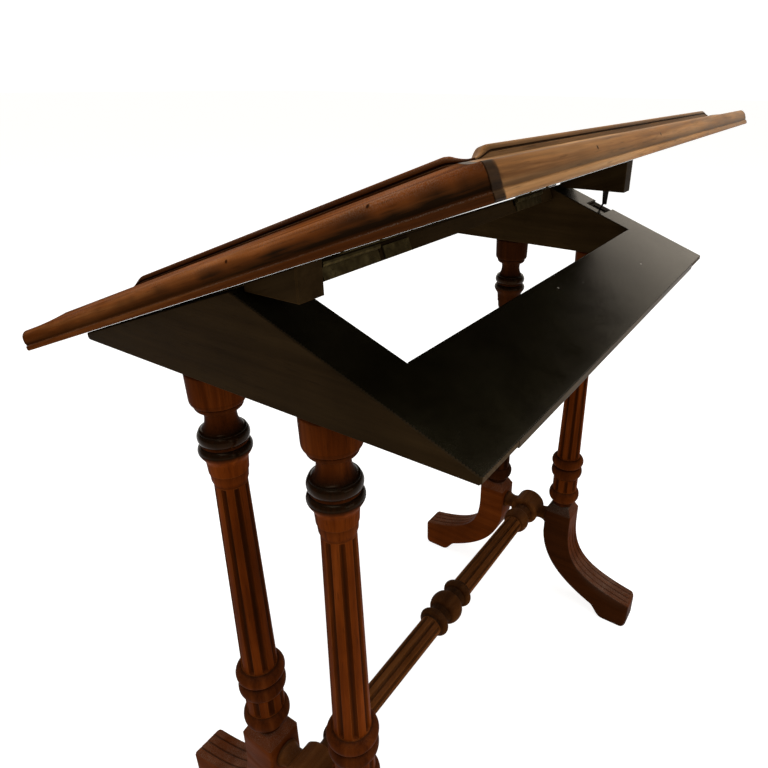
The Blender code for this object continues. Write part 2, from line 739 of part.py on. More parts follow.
def under_top(x, y):
    return Matrix.Translation((x, y, UNDER - GAP - LEAF_T)) @ Matrix.Rotation(math.pi, 4, "X")


def rail_plate(x0, x1, low, high):
    plate = box(x0, x1, -FACE_DIST + GAP, -FACE_DIST + GAP + LEAF_T, low, high)
    return placed(plate, rail_frame)


def along_axis(x0, x1, radius, segs=KNUCKLE_SEGS):
    turn = Matrix.Translation(((x0 + x1) / 2, 0.0, 0.0)) @ Matrix.Rotation(math.pi / 2, 4, "Y")
    return placed(rod(radius, (x0 - x1) / 2, (x1 - x0) / 2, segs), turn)


def hinge(end, mid):
    # returns the screw holes that the rail and the top need
    lo = mid - HINGE_L / 2
    hi = mid + HINGE_L / 2
    first = lo + HINGE_L / 3
    second = hi - HINGE_L / 3
    name = "hinge_" + end
    bore = along_axis(lo - CUT_OVER, hi + CUT_OVER, PIN_R + GAP, PIN_SEGS)
    fixed = metal(name + "_fixed_leaf", rail_plate(lo, hi, -LEAF_FIXED, -LEAF_LIP), BRASS, 0.35)
    outer = merged(along_axis(lo, first - GAP, KNUCKLE_R), along_axis(second + GAP, hi, KNUCKLE_R))
    boolean(fixed, placed(outer, rail_frame), "UNION")
    middle = along_axis(first - GAP, second + GAP, KNUCKLE_R + GAP)
    boolean(fixed, placed(middle, rail_frame))
    boolean(fixed, placed(bore, rail_frame))
    leaf = box(lo, hi, -LEAF_LIP, LEAF_MOVING, UNDER - GAP - LEAF_T, UNDER - GAP)
    moving = metal(name + "_moving_leaf", leaf, BRASS, 0.35, tilt_axis)
    boolean(moving, along_axis(first, second, KNUCKLE_R), "UNION")
    clear = KNUCKLE_R + GAP
    boolean(moving, merged(along_axis(lo - CUT_OVER, first, clear), along_axis(second, hi + CUT_OVER, clear)))
    boolean(moving, bore)
    pin = along_axis(lo + PIN_SHORT, hi - PIN_SHORT, PIN_R, PIN_SEGS)
    metal(name + "_pin", placed(pin, rail_frame), BRASS, 0.3)
    spots = (mid - LEAF_SCREWS / 2, mid + LEAF_SCREWS / 2)
    rail_cut = screwed("screw_" + end + "_rail_", [on_rail(x, RAIL_SCREW) for x in spots])
    top_cut = screwed("screw_" + end + "_top_", [under_top(x, TOP_SCREW) for x in spots], tilt_axis)
    boolean(fixed, rail_cut)
    boolean(moving, top_cut)
    return rail_cut, top_cut


def hinge_pocket(mid):
    half = HINGE_L / 2 + RECESS_SIDE
    pocket = box(mid - half, mid + half, -FACE_DIST - RECESS_D, CUT_OVER, -RECESS_H, CUT_OVER)
    return placed(pocket, rail_frame)


def top_spread():
    # lowest and highest Y of the tilted top, measured from the ridge
    spots = []
    for t, h in moulding_profile():
        for edge in (TOP_FRONT + t, TOP_BACK - t):
            spots.append(AXIS_Y + edge * math.cos(TILT) - (UNDER + h) * math.sin(TILT))
    return min(spots), max(spots)


# the stand's own axis lies so that the floor origin is under the middle of its outline;
# the top turns on the hinge axis and the pawl on its pin
pawl_foot = Vector((PAWL_Y, bearer_line(PAWL_Y)))
pawl_pivot = pawl_foot + Vector((SIN_S, COS_S)) * PAWL_IN
stand = empty("stand", (0.0, -sum(top_spread()) / 2, 0.0))
tilt_axis = empty("tilt_axis", (0.0, AXIS_Y, AXIS_Z), TILT, stand)
pawl_axis = empty("pawl_axis", (-BEARER_X, *pawl_pivot), -TILT, tilt_axis)
rail_frame = Matrix.Translation((0.0, AXIS_Y, AXIS_Z)) @ Matrix.Rotation(SLOPE, 4, "X")
ends = {"near": 1, "far": -1}
sides = {"back": 1, "front": -1}

# end frames, stretcher, boards and rail
cheeks = {}
for end, sx in ends.items():
    for lie, sy in sides.items():
        foot("foot_" + end + "_" + lie, sx * END_X, sy)
        column("column_" + end + "_" + lie, sx * END_X, sy * COL_Y)
    hub("hub_" + end, sx * END_X, -sx)
    cheeks[end] = cheek("cheek_" + end, sx)
stretcher()
for lie, sy in sides.items():
    wood(lie + "_board", tongued(board_outline(sy), BOARD_SHOULDER), EBONISED, 0.42)
rail = wood("ridge_rail", tongued(rail_outline(), RAIL_SHOULDER), DARK_WALNUT, 0.45)

# top: core board, four mitred mouldings, four lips and the bearers
edge_x = TOP_L / 2
core_in = MOULD_W + GAP
core_y = (TOP_FRONT + core_in, TOP_BACK - core_in)
core_solid = box(core_in - edge_x, edge_x - core_in, *core_y, UNDER, UNDER + CORE_T)
core = wood("top_core", core_solid, WALNUT, 0.35, tilt_axis)
corners = [(-edge_x, TOP_FRONT), (edge_x, TOP_FRONT), (edge_x, TOP_BACK), (-edge_x, TOP_BACK)]
margins = [(LIP_SIDE, LIP_FRONT), (-LIP_SIDE, LIP_FRONT), (-LIP_SIDE, -LIP_BACK), (LIP_SIDE, -LIP_BACK)]
lip_corners = [Vector(corner) + Vector(margin) for corner, margin in zip(corners, margins)]
for k, lie in enumerate(("front", "near", "back", "far")):
    moulding("moulding_" + lie, corners[k], corners[(k + 1) % 4])
    lip("lip_" + lie, lip_corners[k], lip_corners[(k + 1) % 4])
bearer("bearer_near", BEARER_X, BEARER_NEAR)
far_bearer = bearer("bearer_far", -BEARER_X, BEARER_FAR)

# hinges, and the brass plate beside the near one
rail_cuts = []
top_cuts = []
for end, sx in ends.items():
    rail_cut, top_cut = hinge(end, sx * HINGE_X)
    rail_cuts.append(rail_cut)
    top_cuts.append(top_cut)
plate_solid = rail_plate(PLATE_X - PLATE_L / 2, PLATE_X + PLATE_L / 2, -PLATE_LIP - PLATE_H, -PLATE_LIP)
ridge_plate = metal("ridge_plate", plate_solid, BRASS, 0.35)
plate_spots = (PLATE_X - PLATE_SCREWS / 2, PLATE_X + PLATE_SCREWS / 2)
plate_cut = screwed("screw_plate_", [on_rail(x, PLATE_LIP + PLATE_H / 2) for x in plate_spots])
boolean(ridge_plate, plate_cut)
boolean(rail, merged(*rail_cuts, plate_cut))
for sx in ends.values():
    boolean(rail, hinge_pocket(sx * HINGE_X))
boolean(core, merged(*top_cuts))


# catch: mortise and pin in the far bearer
def bearer_point(along, up):
    return tuple(pawl_foot + Vector((COS_S, -SIN_S)) * along + Vector((SIN_S, COS_S)) * up)


half_l = MORTISE_L / 2
half_w = PAWL_T / 2 + MORTISE_SIDE
ceiling = PAWL_IN + PAWL_EYE + MORTISE_UP
mortise = [bearer_point(-half_l, -CUT_OVER), bearer_point(half_l, -CUT_OVER)]
mortise += [bearer_point(half_l, ceiling), bearer_point(-half_l, ceiling)]
boolean(far_bearer, prism(mortise, -BEARER_X - half_w, -BEARER_X + half_w))
on_pin = Matrix.Translation((-BEARER_X, *pawl_pivot)) @ Matrix.Rotation(math.pi / 2, 4, "Y")
pin_half = CATCH_L / 2
boolean(far_bearer, placed(rod(CATCH_R + GAP, -pin_half - GAP, pin_half + GAP, PIN_SEGS), on_pin))
metal("catch_pin", placed(rod(CATCH_R, -pin_half, pin_half, PIN_SEGS), on_pin), IRON, 0.45, tilt_axis)

# pawl: eye, tapered strap and bent finger, hanging plumb
strap = -PAWL_IN - PAWL_DROP
tip = strap - PAWL_TIP
pawl_line = []
for k in range(EYE_STEPS + 1):
    a = math.pi * k / EYE_STEPS
    pawl_line.append((PAWL_EYE * math.cos(a), PAWL_EYE * math.sin(a)))
pawl_line += [(-PAWL_WAIST, strap + FINGER_W / 2), (-PAWL_BEND, tip), (-PAWL_BEND + FINGER_W, tip)]
pawl_line += [(-PAWL_WAIST + FINGER_W, strap), (PAWL_WAIST, strap)]
pawl = metal("catch_pawl", prism(pawl_line, -PAWL_T / 2, PAWL_T / 2, PAWL_EASE), IRON, 0.5, pawl_axis)
eye = rod(CATCH_R + GAP, -PAWL_T / 2 - CUT_OVER, PAWL_T / 2 + CUT_OVER, PIN_SEGS)
boolean(pawl, placed(eye, Matrix.Rotation(math.pi / 2, 4, "Y")))

# strike in the far cheek: gain, slot for the finger and its iron plate
gain_mid = AXIS_Y + pawl_pivot.x - GAIN_LEAD
gain = (gain_mid - GAIN_L / 2, gain_mid + GAIN_L / 2)
gain_x = -BEARER_X + GAIN_IN
slot_x = (-BEARER_X - PAWL_T / 2 - SLOT_SIDE, -BEARER_X + PAWL_T / 2 + SLOT_SIDE)
slot_floor = AXIS_Z + pawl_pivot.y + tip - SLOT_DOWN
boolean(cheeks["far"], slope_box(*gain, -CUT_OVER, GAIN_DEPTH, -OUTER_X - CUT_OVER, gain_x))
boolean(cheeks["far"], box(*slot_x, gain[0] + SLOT_EDGE, gain[1] - SLOT_EDGE, slot_floor, APEX))
strike_low = GAIN_DEPTH - GAP
strike_solid = slope_box(gain[0] + GAP, gain[1] - GAP, strike_low - STRIKE_T, strike_low,
                         -OUTER_X + STRIKE_IN, gain_x - GAP)
strike = metal("strike_plate", strike_solid, IRON, 0.45)
boolean(strike, box(*slot_x, gain[0] + STRIKE_EDGE, gain[1] - STRIKE_EDGE, slot_floor, APEX))
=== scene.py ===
import json
import math

import bmesh
import bpy
from mathutils import Matrix, Vector, noise
from mathutils.geometry import tessellate_polygon


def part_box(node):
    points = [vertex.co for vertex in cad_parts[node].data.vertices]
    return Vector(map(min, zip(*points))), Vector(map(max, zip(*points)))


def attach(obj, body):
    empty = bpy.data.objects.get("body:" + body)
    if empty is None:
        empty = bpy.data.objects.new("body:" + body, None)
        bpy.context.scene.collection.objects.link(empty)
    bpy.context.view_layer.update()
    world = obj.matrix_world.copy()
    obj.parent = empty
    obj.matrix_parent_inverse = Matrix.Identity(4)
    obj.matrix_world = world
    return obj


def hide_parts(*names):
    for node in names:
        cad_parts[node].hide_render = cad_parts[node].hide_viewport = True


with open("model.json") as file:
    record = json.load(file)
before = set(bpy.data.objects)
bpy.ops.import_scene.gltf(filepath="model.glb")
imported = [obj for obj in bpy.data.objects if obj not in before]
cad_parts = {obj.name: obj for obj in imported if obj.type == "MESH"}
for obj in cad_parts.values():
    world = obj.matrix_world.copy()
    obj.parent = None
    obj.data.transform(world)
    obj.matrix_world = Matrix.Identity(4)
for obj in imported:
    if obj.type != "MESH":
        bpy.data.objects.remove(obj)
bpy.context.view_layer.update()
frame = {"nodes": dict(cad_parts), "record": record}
nodes = frame["nodes"]
joints = {joint["name"]: joint for joint in frame["record"]["behaviour"]["joints"]}
print("frame loaded:", len(nodes), "nodes")

# the photo's camera: where it stands, where it looks, and the crop as lens shift
photoCamera = {
    "place": (0.5314, 0.3241, 0.7977),
    "look": (-0.7648, -0.4862, -0.4228),
    "roll": 0.0105,
    "lens": 28.72,
    "sensor": 36.0,
    "shift": (-0.0649, -0.0223),
    "clip": 0.01,
}
cameraData = bpy.data.cameras.new("photoCamera")
cameraData.sensor_width = photoCamera["sensor"]
cameraData.lens = photoCamera["lens"]
cameraData.shift_x, cameraData.shift_y = photoCamera["shift"]
cameraData.clip_start = photoCamera["clip"]
camera = bpy.data.objects.new("photoCamera", cameraData)
bpy.context.scene.collection.objects.link(camera)
aim = Vector(photoCamera["look"]).to_track_quat("-Z", "Y").to_matrix().to_4x4()
roll = Matrix.Rotation(photoCamera["roll"], 4, "Z")
camera.matrix_world = Matrix.Translation(photoCamera["place"]) @ aim @ roll
bpy.context.scene.camera = camera
print("camera placed")


# node helpers
def addNode(tree, kind, inputs=None, **settings):
    node = tree.nodes.new("ShaderNode" + kind)
    for key, value in settings.items():
        setattr(node, key, value)
    for key, value in (inputs or {}).items():
        if isinstance(value, bpy.types.NodeSocket):
            tree.links.new(value, node.inputs[key])
        else:
            node.inputs[key].default_value = value
    return node


def newFinish(name):
    mat = bpy.data.materials.new(name)
    mat.use_nodes = True
    return mat, mat.node_tree, mat.node_tree.nodes["Principled BSDF"]


def ramp(tree, factor, stops):
    node = addNode(tree, "ValToRGB", {"Fac": factor})
    points = node.color_ramp.elements
    while len(points) < len(stops):
        points.new(1.0)
    for point, (spot, colour) in zip(points, stops):
        point.position = spot
        point.color = (*colour, 1.0)
    return node.outputs["Color"]


def remap(tree, value, low, high, toLow=0.0, toHigh=1.0):
    node = addNode(tree, "MapRange", {0: value, 1: low, 2: high, 3: toLow, 4: toHigh})
    return node.outputs[0]


def blendColour(tree, factor, first, second, mode="MIX"):
    node = addNode(tree, "Mix", {0: factor, 6: first, 7: second}, data_type="RGBA", blend_type=mode)
    return node.outputs[2]


def paint(tree, factor, colour, tone):
    return blendColour(tree, factor, colour, (*tone, 1.0))


def grey(level):
    return (level, level, level)


def shade(tree, colour, factor, spots, levels):
    greys = ramp(tree, factor, [(spot, grey(level)) for spot, level in zip(spots, levels)])
    return blendColour(tree, 1.0, colour, greys, "MULTIPLY")


def times(tree, first, second):
    return addNode(tree, "Math", {0: first, 1: second}, operation="MULTIPLY").outputs[0]


def plus(tree, first, second):
    return addNode(tree, "Math", {0: first, 1: second}, operation="ADD").outputs[0]


def weighed(tree, first, second, shares):
    return plus(tree, times(tree, first, shares[0]), times(tree, second, shares[1]))


def attribute(tree, name):
    return addNode(tree, "Attribute", attribute_name=name).outputs["Fac"]


def noiseAt(tree, place, size, detail, rough=0.5, swirl=0.0):
    inputs = {"Vector": place, "Scale": size, "Detail": detail, "Roughness": rough, "Distortion": swirl}
    return addNode(tree, "TexNoise", inputs).outputs[0]


def stretched(tree, place, size, turned=(0.0, 0.0, 0.0)):
    inputs = {"Vector": place, "Rotation": turned, "Scale": size}
    return addNode(tree, "Mapping", inputs, vector_type="TEXTURE").outputs[0]


wear = {"samples": 6, "edge": (0.985, 0.86)}      # cosines where wear on an edge starts and is full


def openness(tree, reach):
    return addNode(tree, "AmbientOcclusion", {"Distance": reach}, samples=wear["samples"]).outputs["AO"]


def wornEdge(tree, radius):
    soft = addNode(tree, "Bevel", {"Radius": radius}, samples=wear["samples"]).outputs[0]
    flat = addNode(tree, "NewGeometry").outputs["Normal"]
    turn = addNode(tree, "VectorMath", {0: soft, 1: flat}, operation="DOT_PRODUCT").outputs["Value"]
    return soft, remap(tree, turn, *wear["edge"])


def roughen(tree, shader, soft, height, strength, depth):
    inputs = {"Strength": strength, "Distance": depth, "Height": height, "Normal": soft}
    tree.links.new(addNode(tree, "Bump", inputs).outputs[0], shader.inputs["Normal"])


# wood: figure along the grain, pores, dark patina in nooks, pale wear on edges, dust on top, which on the
# end mouldings also stands for a painted sheen
woodDetail = {
    # noises: size, detail and roughness
    "figure": (1.0, 4.0, 0.55), "streak": (4.5, 5.0, 0.65), "pore": (1.0, 2.0), "mote": (1500.0, 2.0, 0.7),
    "cloudDetail": 3.0,
    "figureStops": (0.28, 0.44),              # place of the first tone, and how far the tones reach
    # spans: from and to, and what they become where that isn't 0 and 1
    "streakSpan": (0.32, 0.66), "poreSpan": (0.60, 0.72),
    "cloudSpan": (0.30, 0.70), "cloudTone": (0.78, 1.18), "mottleSpan": (0.36, 0.56),
    "slopeFacing": (0.55, 0.75), "underFacing": (-0.60, -0.75), "noseFacing": (0.80, 0.92),
    "noseWear": (0.36, 0.60, 0.35, 1.0), "nookSpan": (0.30, 0.88, 1.0, 0.0), "rubSpan": (0.36, 0.62),
    "grimeSpan": (0.0, 0.6, 1.0, 0.0), "moteSpan": (0.42, 0.70), "driftSpan": (0.30, 0.66),
    "dustFacing": (0.15, 0.95), "chipSize": (0.035, 0.06, 1.0, 0.0), "chipShare": (0.86, 0.88),
    "pinSize": (0.0007, 0.0015, 0.9, 0.0), "sheenSpan": (0.30, 0.70),
    # shares of streak and cloud, or of streak and pores
    "mottle": (0.6, 0.4), "sheen": (0.55, 0.45), "relief": (0.5, -0.6),
    "dustAndSheenTone": (0.30, 0.27, 0.22), "chipTone": (0.62, 0.60, 0.55),
    "dull": 0.35, "slopePolish": -0.16, "bump": 0.0004,
}


def woodFinish(name, look):
    d = woodDetail
    mat, tree, shader = newFinish(name)
    coords = addNode(tree, "TexCoord")
    place = coords.outputs["Object"]
    turned = (look.get("lean", 0.0), 0.0, 0.0)
    fine = tuple(size * share for size, share in zip(look["grain"], look["pore"]))
    along = stretched(tree, place, look["grain"], turned)
    figure = noiseAt(tree, along, *d["figure"], swirl=look["swirl"])
    streak = noiseAt(tree, along, *d["streak"])
    pores = remap(tree, noiseAt(tree, stretched(tree, place, fine, turned), *d["pore"]), *d["poreSpan"])
    cloud = noiseAt(tree, place, look["cloud"], d["cloudDetail"])
    tones = look["tones"]
    first, reach = d["figureStops"]
    stops = [(first + reach * k / (len(tones) - 1), tone) for k, tone in enumerate(tones)]
    colour = shade(tree, ramp(tree, figure, stops), streak, d["streakSpan"], look["contrast"])
    colour = shade(tree, colour, cloud, d["cloudSpan"], d["cloudTone"])
    colour = paint(tree, times(tree, pores, look["poreDepth"]), colour, look["dark"])
    if "stainAndShade" in look:                       # stain bands, painted shade and grooves written on the mesh
        mottle = weighed(tree, streak, cloud, d["mottle"])
        patchy = remap(tree, mottle, *d["mottleSpan"], look["patchy"], 1.0)
        band = times(tree, attribute(tree, "stainAndShade"), patchy)
        colour = paint(tree, band, colour, look["stainAndShade"])
        groove = times(tree, attribute(tree, "groove"), look["grooveDepth"])
        colour = paint(tree, groove, colour, look["dark"])
    facing = addNode(tree, "SeparateXYZ", {0: coords.outputs["Normal"]}).outputs
    if "slope" in look:                       # upper faces stained another colour, as on the slopes
        upward = remap(tree, facing[2], *d["slopeFacing"])
        colour = paint(tree, upward, colour, look["slope"])
    if "under" in look:                       # dull dark underside
        downward = remap(tree, facing[2], *d["underFacing"])
        underside = paint(tree, streak, (*look["under"], 1.0), look["dark"])
        colour = blendColour(tree, downward, colour, underside)
    if "bare" in look:                        # bare wood on the lower nose
        nose = remap(tree, facing[1], *d["noseFacing"])
        worn = remap(tree, streak, *d["noseWear"])
        colour = paint(tree, times(tree, nose, worn), colour, look["bare"])
    nook = openness(tree, look["nook"])
    shut = remap(tree, nook, *d["nookSpan"])
    colour = paint(tree, times(tree, shut, look["patina"]), colour, look["dark"])
    soft, rubbed = wornEdge(tree, look["edge"])
    chance = remap(tree, cloud, *d["rubSpan"])
    rub = times(tree, times(tree, rubbed, chance), times(tree, nook, look["rub"]))
    if "stainAndShade" in look:                       # no pale wear under the stain, grime and painted shade
        rub = times(tree, rub, remap(tree, band, *d["grimeSpan"]))
    colour = paint(tree, rub, colour, look["light"])
    # pale dust on upward faces, in drifts; on the end mouldings it also stands for a painted sheen
    motes = noiseAt(tree, place, *d["mote"])
    drift = times(tree, remap(tree, motes, *d["moteSpan"]), remap(tree, cloud, *d["driftSpan"]))
    dustAndSheenFilm = times(tree, times(tree, remap(tree, facing[2], *d["dustFacing"]), drift), look["dustAndSheen"])
    colour = paint(tree, dustAndSheenFilm, colour, d["dustAndSheenTone"])
    if "chips" in look:                       # a few pale specks
        inputs = {"Vector": place, "Scale": look["chips"], "Randomness": 1.0}
        cell = addNode(tree, "TexVoronoi", inputs).outputs
        spot = remap(tree, cell["Distance"], *d["chipSize"])
        pick = addNode(tree, "SeparateColor", {0: cell["Color"]}).outputs[0]
        chosen = remap(tree, pick, *d["chipShare"])
        colour = paint(tree, times(tree, spot, chosen), colour, d["chipTone"])
    for pin in look.get("pins", []):          # nail holes
        away = addNode(tree, "VectorMath", {0: place, 1: pin}, operation="DISTANCE").outputs["Value"]
        colour = paint(tree, remap(tree, away, *d["pinSize"]), colour, look["dark"])
    tree.links.new(colour, shader.inputs["Base Color"])
    sheen = weighed(tree, streak, cloud, d["sheen"])
    rough = remap(tree, sheen, *d["sheenSpan"], *look["gloss"])
    rough = plus(tree, rough, times(tree, plus(tree, dustAndSheenFilm, rub), d["dull"]))
    if "slope" in look:                       # the slopes are polished as the board between them
        rough = plus(tree, rough, times(tree, upward, d["slopePolish"]))
    tree.links.new(rough, shader.inputs["Roughness"])
    roughen(tree, shader, soft, weighed(tree, streak, pores, d["relief"]), look["relief"], d["bump"])
    shader.inputs["Specular IOR Level"].default_value = look["shine"]
    shader.inputs["Specular Tint"].default_value = (*look["glint"], 1.0)
    return mat


# metal: dull ground, brown tarnish in clouds and nooks, brighter rubbed edges
metalDetail = {
    "cloud": (6.0, 0.65), "line": (1.0, 3.0), "toneSpots": (0.34, 0.52, 0.72),
    "lineSpan": (0.30, 0.70), "lineTone": (0.88, 1.08), "nook": 0.004, "nookSpan": (0.25, 0.80, 0.85, 0.0),
    "edge": 0.0004, "glossSpan": (0.30, 0.70), "relief": 0.25, "bump": 0.0002, "shine": 0.05,
}


def metalFinish(name, look):
    d = metalDetail
    mat, tree, shader = newFinish(name)
    place = addNode(tree, "TexCoord").outputs["Object"]
    cloud = noiseAt(tree, place, look["cloud"], *d["cloud"])
    lines = noiseAt(tree, stretched(tree, place, look["brush"]), *d["line"])
    tones = [look["tarnish"], look["ground"], look["bright"]]
    colour = ramp(tree, cloud, list(zip(d["toneSpots"], tones)))
    colour = shade(tree, colour, lines, d["lineSpan"], d["lineTone"])
    colour = paint(tree, remap(tree, openness(tree, d["nook"]), *d["nookSpan"]), colour, look["tarnish"])
    soft, rubbed = wornEdge(tree, d["edge"])
    colour = paint(tree, times(tree, rubbed, look["rub"]), colour, look["bright"])
    tree.links.new(colour, shader.inputs["Base Color"])
    smooth, dull = look["gloss"]
    tree.links.new(remap(tree, cloud, *d["glossSpan"], dull, smooth), shader.inputs["Roughness"])
    roughen(tree, shader, soft, plus(tree, cloud, lines), d["relief"], d["bump"])
    shader.inputs["Metallic"].default_value = look["metal"]
    shader.inputs["Specular IOR Level"].default_value = d["shine"]
    shader.inputs["Specular Tint"].default_value = (*look["glint"], 1.0)
    return mat


# the stand's woods and metals
lean = math.radians(joints["top_tilt"]["range_deg"][1])     # slope of the top at rest
turnedTones = [(0.050, 0.0092, 0.0008), (0.080, 0.0150, 0.0014),
               (0.110, 0.022, 0.0024), (0.155, 0.034, 0.0048)]
footTones = [(0.062, 0.0125, 0.0012), (0.078, 0.0160, 0.0017),
             (0.092, 0.0195, 0.0023), (0.110, 0.0245, 0.0032)]
tanTones = [(0.056, 0.0155, 0.0025), (0.086, 0.0255, 0.0046),
            (0.116, 0.037, 0.0078), (0.155, 0.054, 0.0135)]
topTones = [(0.052, 0.0113, 0.0017), (0.104, 0.0255, 0.0042),
            (0.160, 0.045, 0.0090), (0.235, 0.082, 0.0215)]
# painted light: the back run in lighter tones, as lit from behind and above the stand
backTonesPaintedLight = [(0.125, 0.0500, 0.0145), (0.220, 0.099, 0.0325),
             (0.310, 0.156, 0.060), (0.400, 0.232, 0.108)]
darkTones = [(0.014, 0.0075, 0.0025), (0.0185, 0.0101, 0.0035),
             (0.023, 0.0128, 0.0045), (0.030, 0.0170, 0.0062)]
blackTones = [(0.0036, 0.0030, 0.0012), (0.0050, 0.0042, 0.0018),
              (0.0066, 0.0056, 0.0025), (0.0090, 0.0077, 0.0036)]
slopeMargin = (0.020, 0.015, 0.0080)
underBrown = (0.056, 0.046, 0.0270)
bareNose = (0.058, 0.036, 0.0170)
nearPins = [(0.31805, 0.05416, 0.7079), (0.31705, 0.15246, 0.74779)]     # nail holes, as the stand rests
backPins = [(0.19468, 0.21182, 0.7668), (0.06517, 0.21215, 0.76594)]
woodBase = {
    "grain": (0.012, 0.012, 0.30), "pore": (0.09, 0.09, 0.06), "swirl": 0.7, "cloud": 14.0,
    "contrast": (0.78, 1.08), "poreDepth": 0.35, "dark": (0.006, 0.0024, 0.0007),
    "light": (0.22, 0.078, 0.018), "nook": 0.006, "patina": 0.70, "edge": 0.0009, "rub": 0.5, "dustAndSheen": 0.04,
    "gloss": (0.32, 0.48), "relief": 0.18, "shine": 0.006, "glint": (1.0, 0.78, 0.52),
}
turnedLook = {
    "tones": turnedTones, "stainAndShade": (0.0060, 0.0030, 0.0012), "grooveDepth": 0.72, "patchy": 0.90,
    "shine": 0.003,
}
topLook = {
    "tones": topTones, "lean": lean, "stainAndShade": (0.012, 0.0062, 0.0030), "grooveDepth": 0.6, "patchy": 0.5,
    "contrast": (0.66, 1.1), "light": (0.28, 0.135, 0.052), "rub": 0.8, "gloss": (0.28, 0.44), "shine": 0.0,
}
darkLook = {
    "tones": darkTones, "light": (0.070, 0.036, 0.014), "gloss": (0.36, 0.52), "contrast": (0.92, 1.04),
    "swirl": 0.3,
}
blackLook = {"tones": blackTones, "light": (0.075, 0.042, 0.018), "dustAndSheen": 0.05, "gloss": (0.14, 0.24)}
torus = {"shine": 0.05, "gloss": (0.08, 0.14), "stainAndShade": (0.0068, 0.0026, 0.0005)}
calm = {"contrast": (0.92, 1.04), "swirl": 0.3, "grooveDepth": 0.40}
alongX = {"grain": (0.30, 0.012, 0.012), "pore": (0.06, 0.09, 0.09)}
alongY = {"grain": (0.012, 0.30, 0.012), "pore": (0.09, 0.06, 0.09)}
mottled = {"grain": (0.030, 0.030, 0.030), "pore": (0.05, 0.05, 0.05), "poreDepth": 0.25, "relief": 0.10}
# painted light on the back run: its own lighter tones
backEdge = {"tones": backTonesPaintedLight, "shine": 0.010, "pins": backPins, "patchy": 0.85}
facingLook = {"shine": 0.20, "dustAndSheen": 0.03, "rub": 0.0, "chips": 48.0}
woods = {
    "columnWood": {**woodBase, **turnedLook},
    "torusWood": {**woodBase, **turnedLook, **torus},
    "stretcherWood": {**woodBase, **turnedLook, **alongX, **calm, "tones": tanTones, "dustAndSheen": 0.10},
    "footWood": {**woodBase, **turnedLook, **alongY, **calm, "tones": footTones, "dustAndSheen": 0.55},
    # on the end mouldings' upper faces the dust also stands for a painted sheen
    "endMouldingWood": {**woodBase, **topLook, **alongY, "pins": nearPins, "dustAndSheen": 0.40},
    "backMouldingWoodPaintedLight": {**woodBase, **topLook, **alongX, **backEdge},
    "coreWood": {**woodBase, **topLook, **alongX, "under": underBrown},
    "cheekWood": {**woodBase, **darkLook, **alongY, "slope": slopeMargin, "bare": bareNose},
    "railWood": {**woodBase, **darkLook, **alongX},
    "bearerWood": {**woodBase, **darkLook, **alongY, "lean": lean},
    "boardWood": {**woodBase, **blackLook, **alongX, "bare": bareNose},
    "facingBlack": {**woodBase, **blackLook, **mottled, **facingLook},
}
metals = {
    "agedBrass": {
        "ground": (0.050, 0.038, 0.0170), "bright": (0.088, 0.068, 0.0320), "tarnish": (0.028, 0.020, 0.009),
        "cloud": 90.0, "brush": (0.010, 0.0006, 0.0006), "gloss": (0.40, 0.60), "rub": 0.5, "metal": 0.8,
        "glint": (0.30, 0.24, 0.12),
    },
    "workedIron": {
        "ground": (0.016, 0.014, 0.012), "bright": (0.050, 0.044, 0.038), "tarnish": (0.009, 0.006, 0.004),
        "cloud": 120.0, "brush": (0.002, 0.002, 0.008), "gloss": (0.40, 0.62), "rub": 0.6, "metal": 0.6,
        "glint": (0.40, 0.36, 0.30),
    },
}
finishes = {name: woodFinish(name, look) for name, look in woods.items()}
finishes.update({name: metalFinish(name, look) for name, look in metals.items()})
print("finishes made:", len(finishes))


# mesh helpers
def dressPiece(name, verts, faces, body, finish, stands, marks=None, sharp=32.0, other=None):
    mesh = bpy.data.meshes.new(name)
    bm = bmesh.new()
    spots = [bm.verts.new(v) for v in verts]
    for face in faces:
        bm.faces.new([spots[i] for i in face])
    bmesh.ops.recalc_face_normals(bm, faces=bm.faces)
    bm.to_mesh(mesh)
    bm.free()
    mesh.shade_smooth()
    mesh.set_sharp_from_angle(angle=math.radians(sharp))
    for key, values in (marks or {}).items():
        layer = mesh.attributes.new(key, "FLOAT", "POINT")
        layer.data.foreach_set("value", values)
    mesh.materials.append(finishes[finish])
    if other:                                 # second finish, and which faces have it
        otherFinish, hasIt = other
        mesh.materials.append(finishes[otherFinish])
        for face in mesh.polygons:
            face.material_index = int(hasIt(face))
    piece = bpy.data.objects.new(name, mesh)
    bpy.context.scene.collection.objects.link(piece)
    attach(piece, body)
    if stands:
        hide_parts(*stands)


def loftRings(rings):
    verts = [Vector(p) for ring in rings for p in ring]
    count = len(rings[0])
    faces = []
    for k in range(len(rings) - 1):
        low = k * count
        for i in range(count):
            j = (i + 1) % count
            faces.append((low + i, low + j, low + count + j, low + count + i))
    faces.append(tuple(reversed(range(count))))
    faces.append(tuple(range(len(verts) - count, len(verts))))
    return verts, faces


# turned work: kind, length, radii at the ends or at end and middle, and how dark its band is
fluting = {
    "count": 8, "depth": 0.0022, "mouth": 0.44, "lip": 0.0010, "end": 0.0040,
    "shoulder": 0.4, "shade": 1.6,            # groove mark at a run's ends, and how it gathers in a flute
}
turnSteps = {
    "bead": 14, "swell": 14, "ovolo": 10, "hollow": 10, "cove": 10, "flutes": 6,
    "shaft": 6, "groove": 7, "land": 4,
}
turnShape = {
    "beadArc": (0.06, 0.88),                  # where a bead starts on its half circle, and how much it shows
    "beadFade": (3.0, 1.1), "swellFade": 2.2,     # how soon a two-toned one changes
    "swellFull": 0.30, "swellStart": 3,       # where a swell is fullest, and its first step
    "nook": 2.2, "ovoloNook": 0.5, "coveNook": 0.35,     # groove marks
    "merge": 0.00002,
}


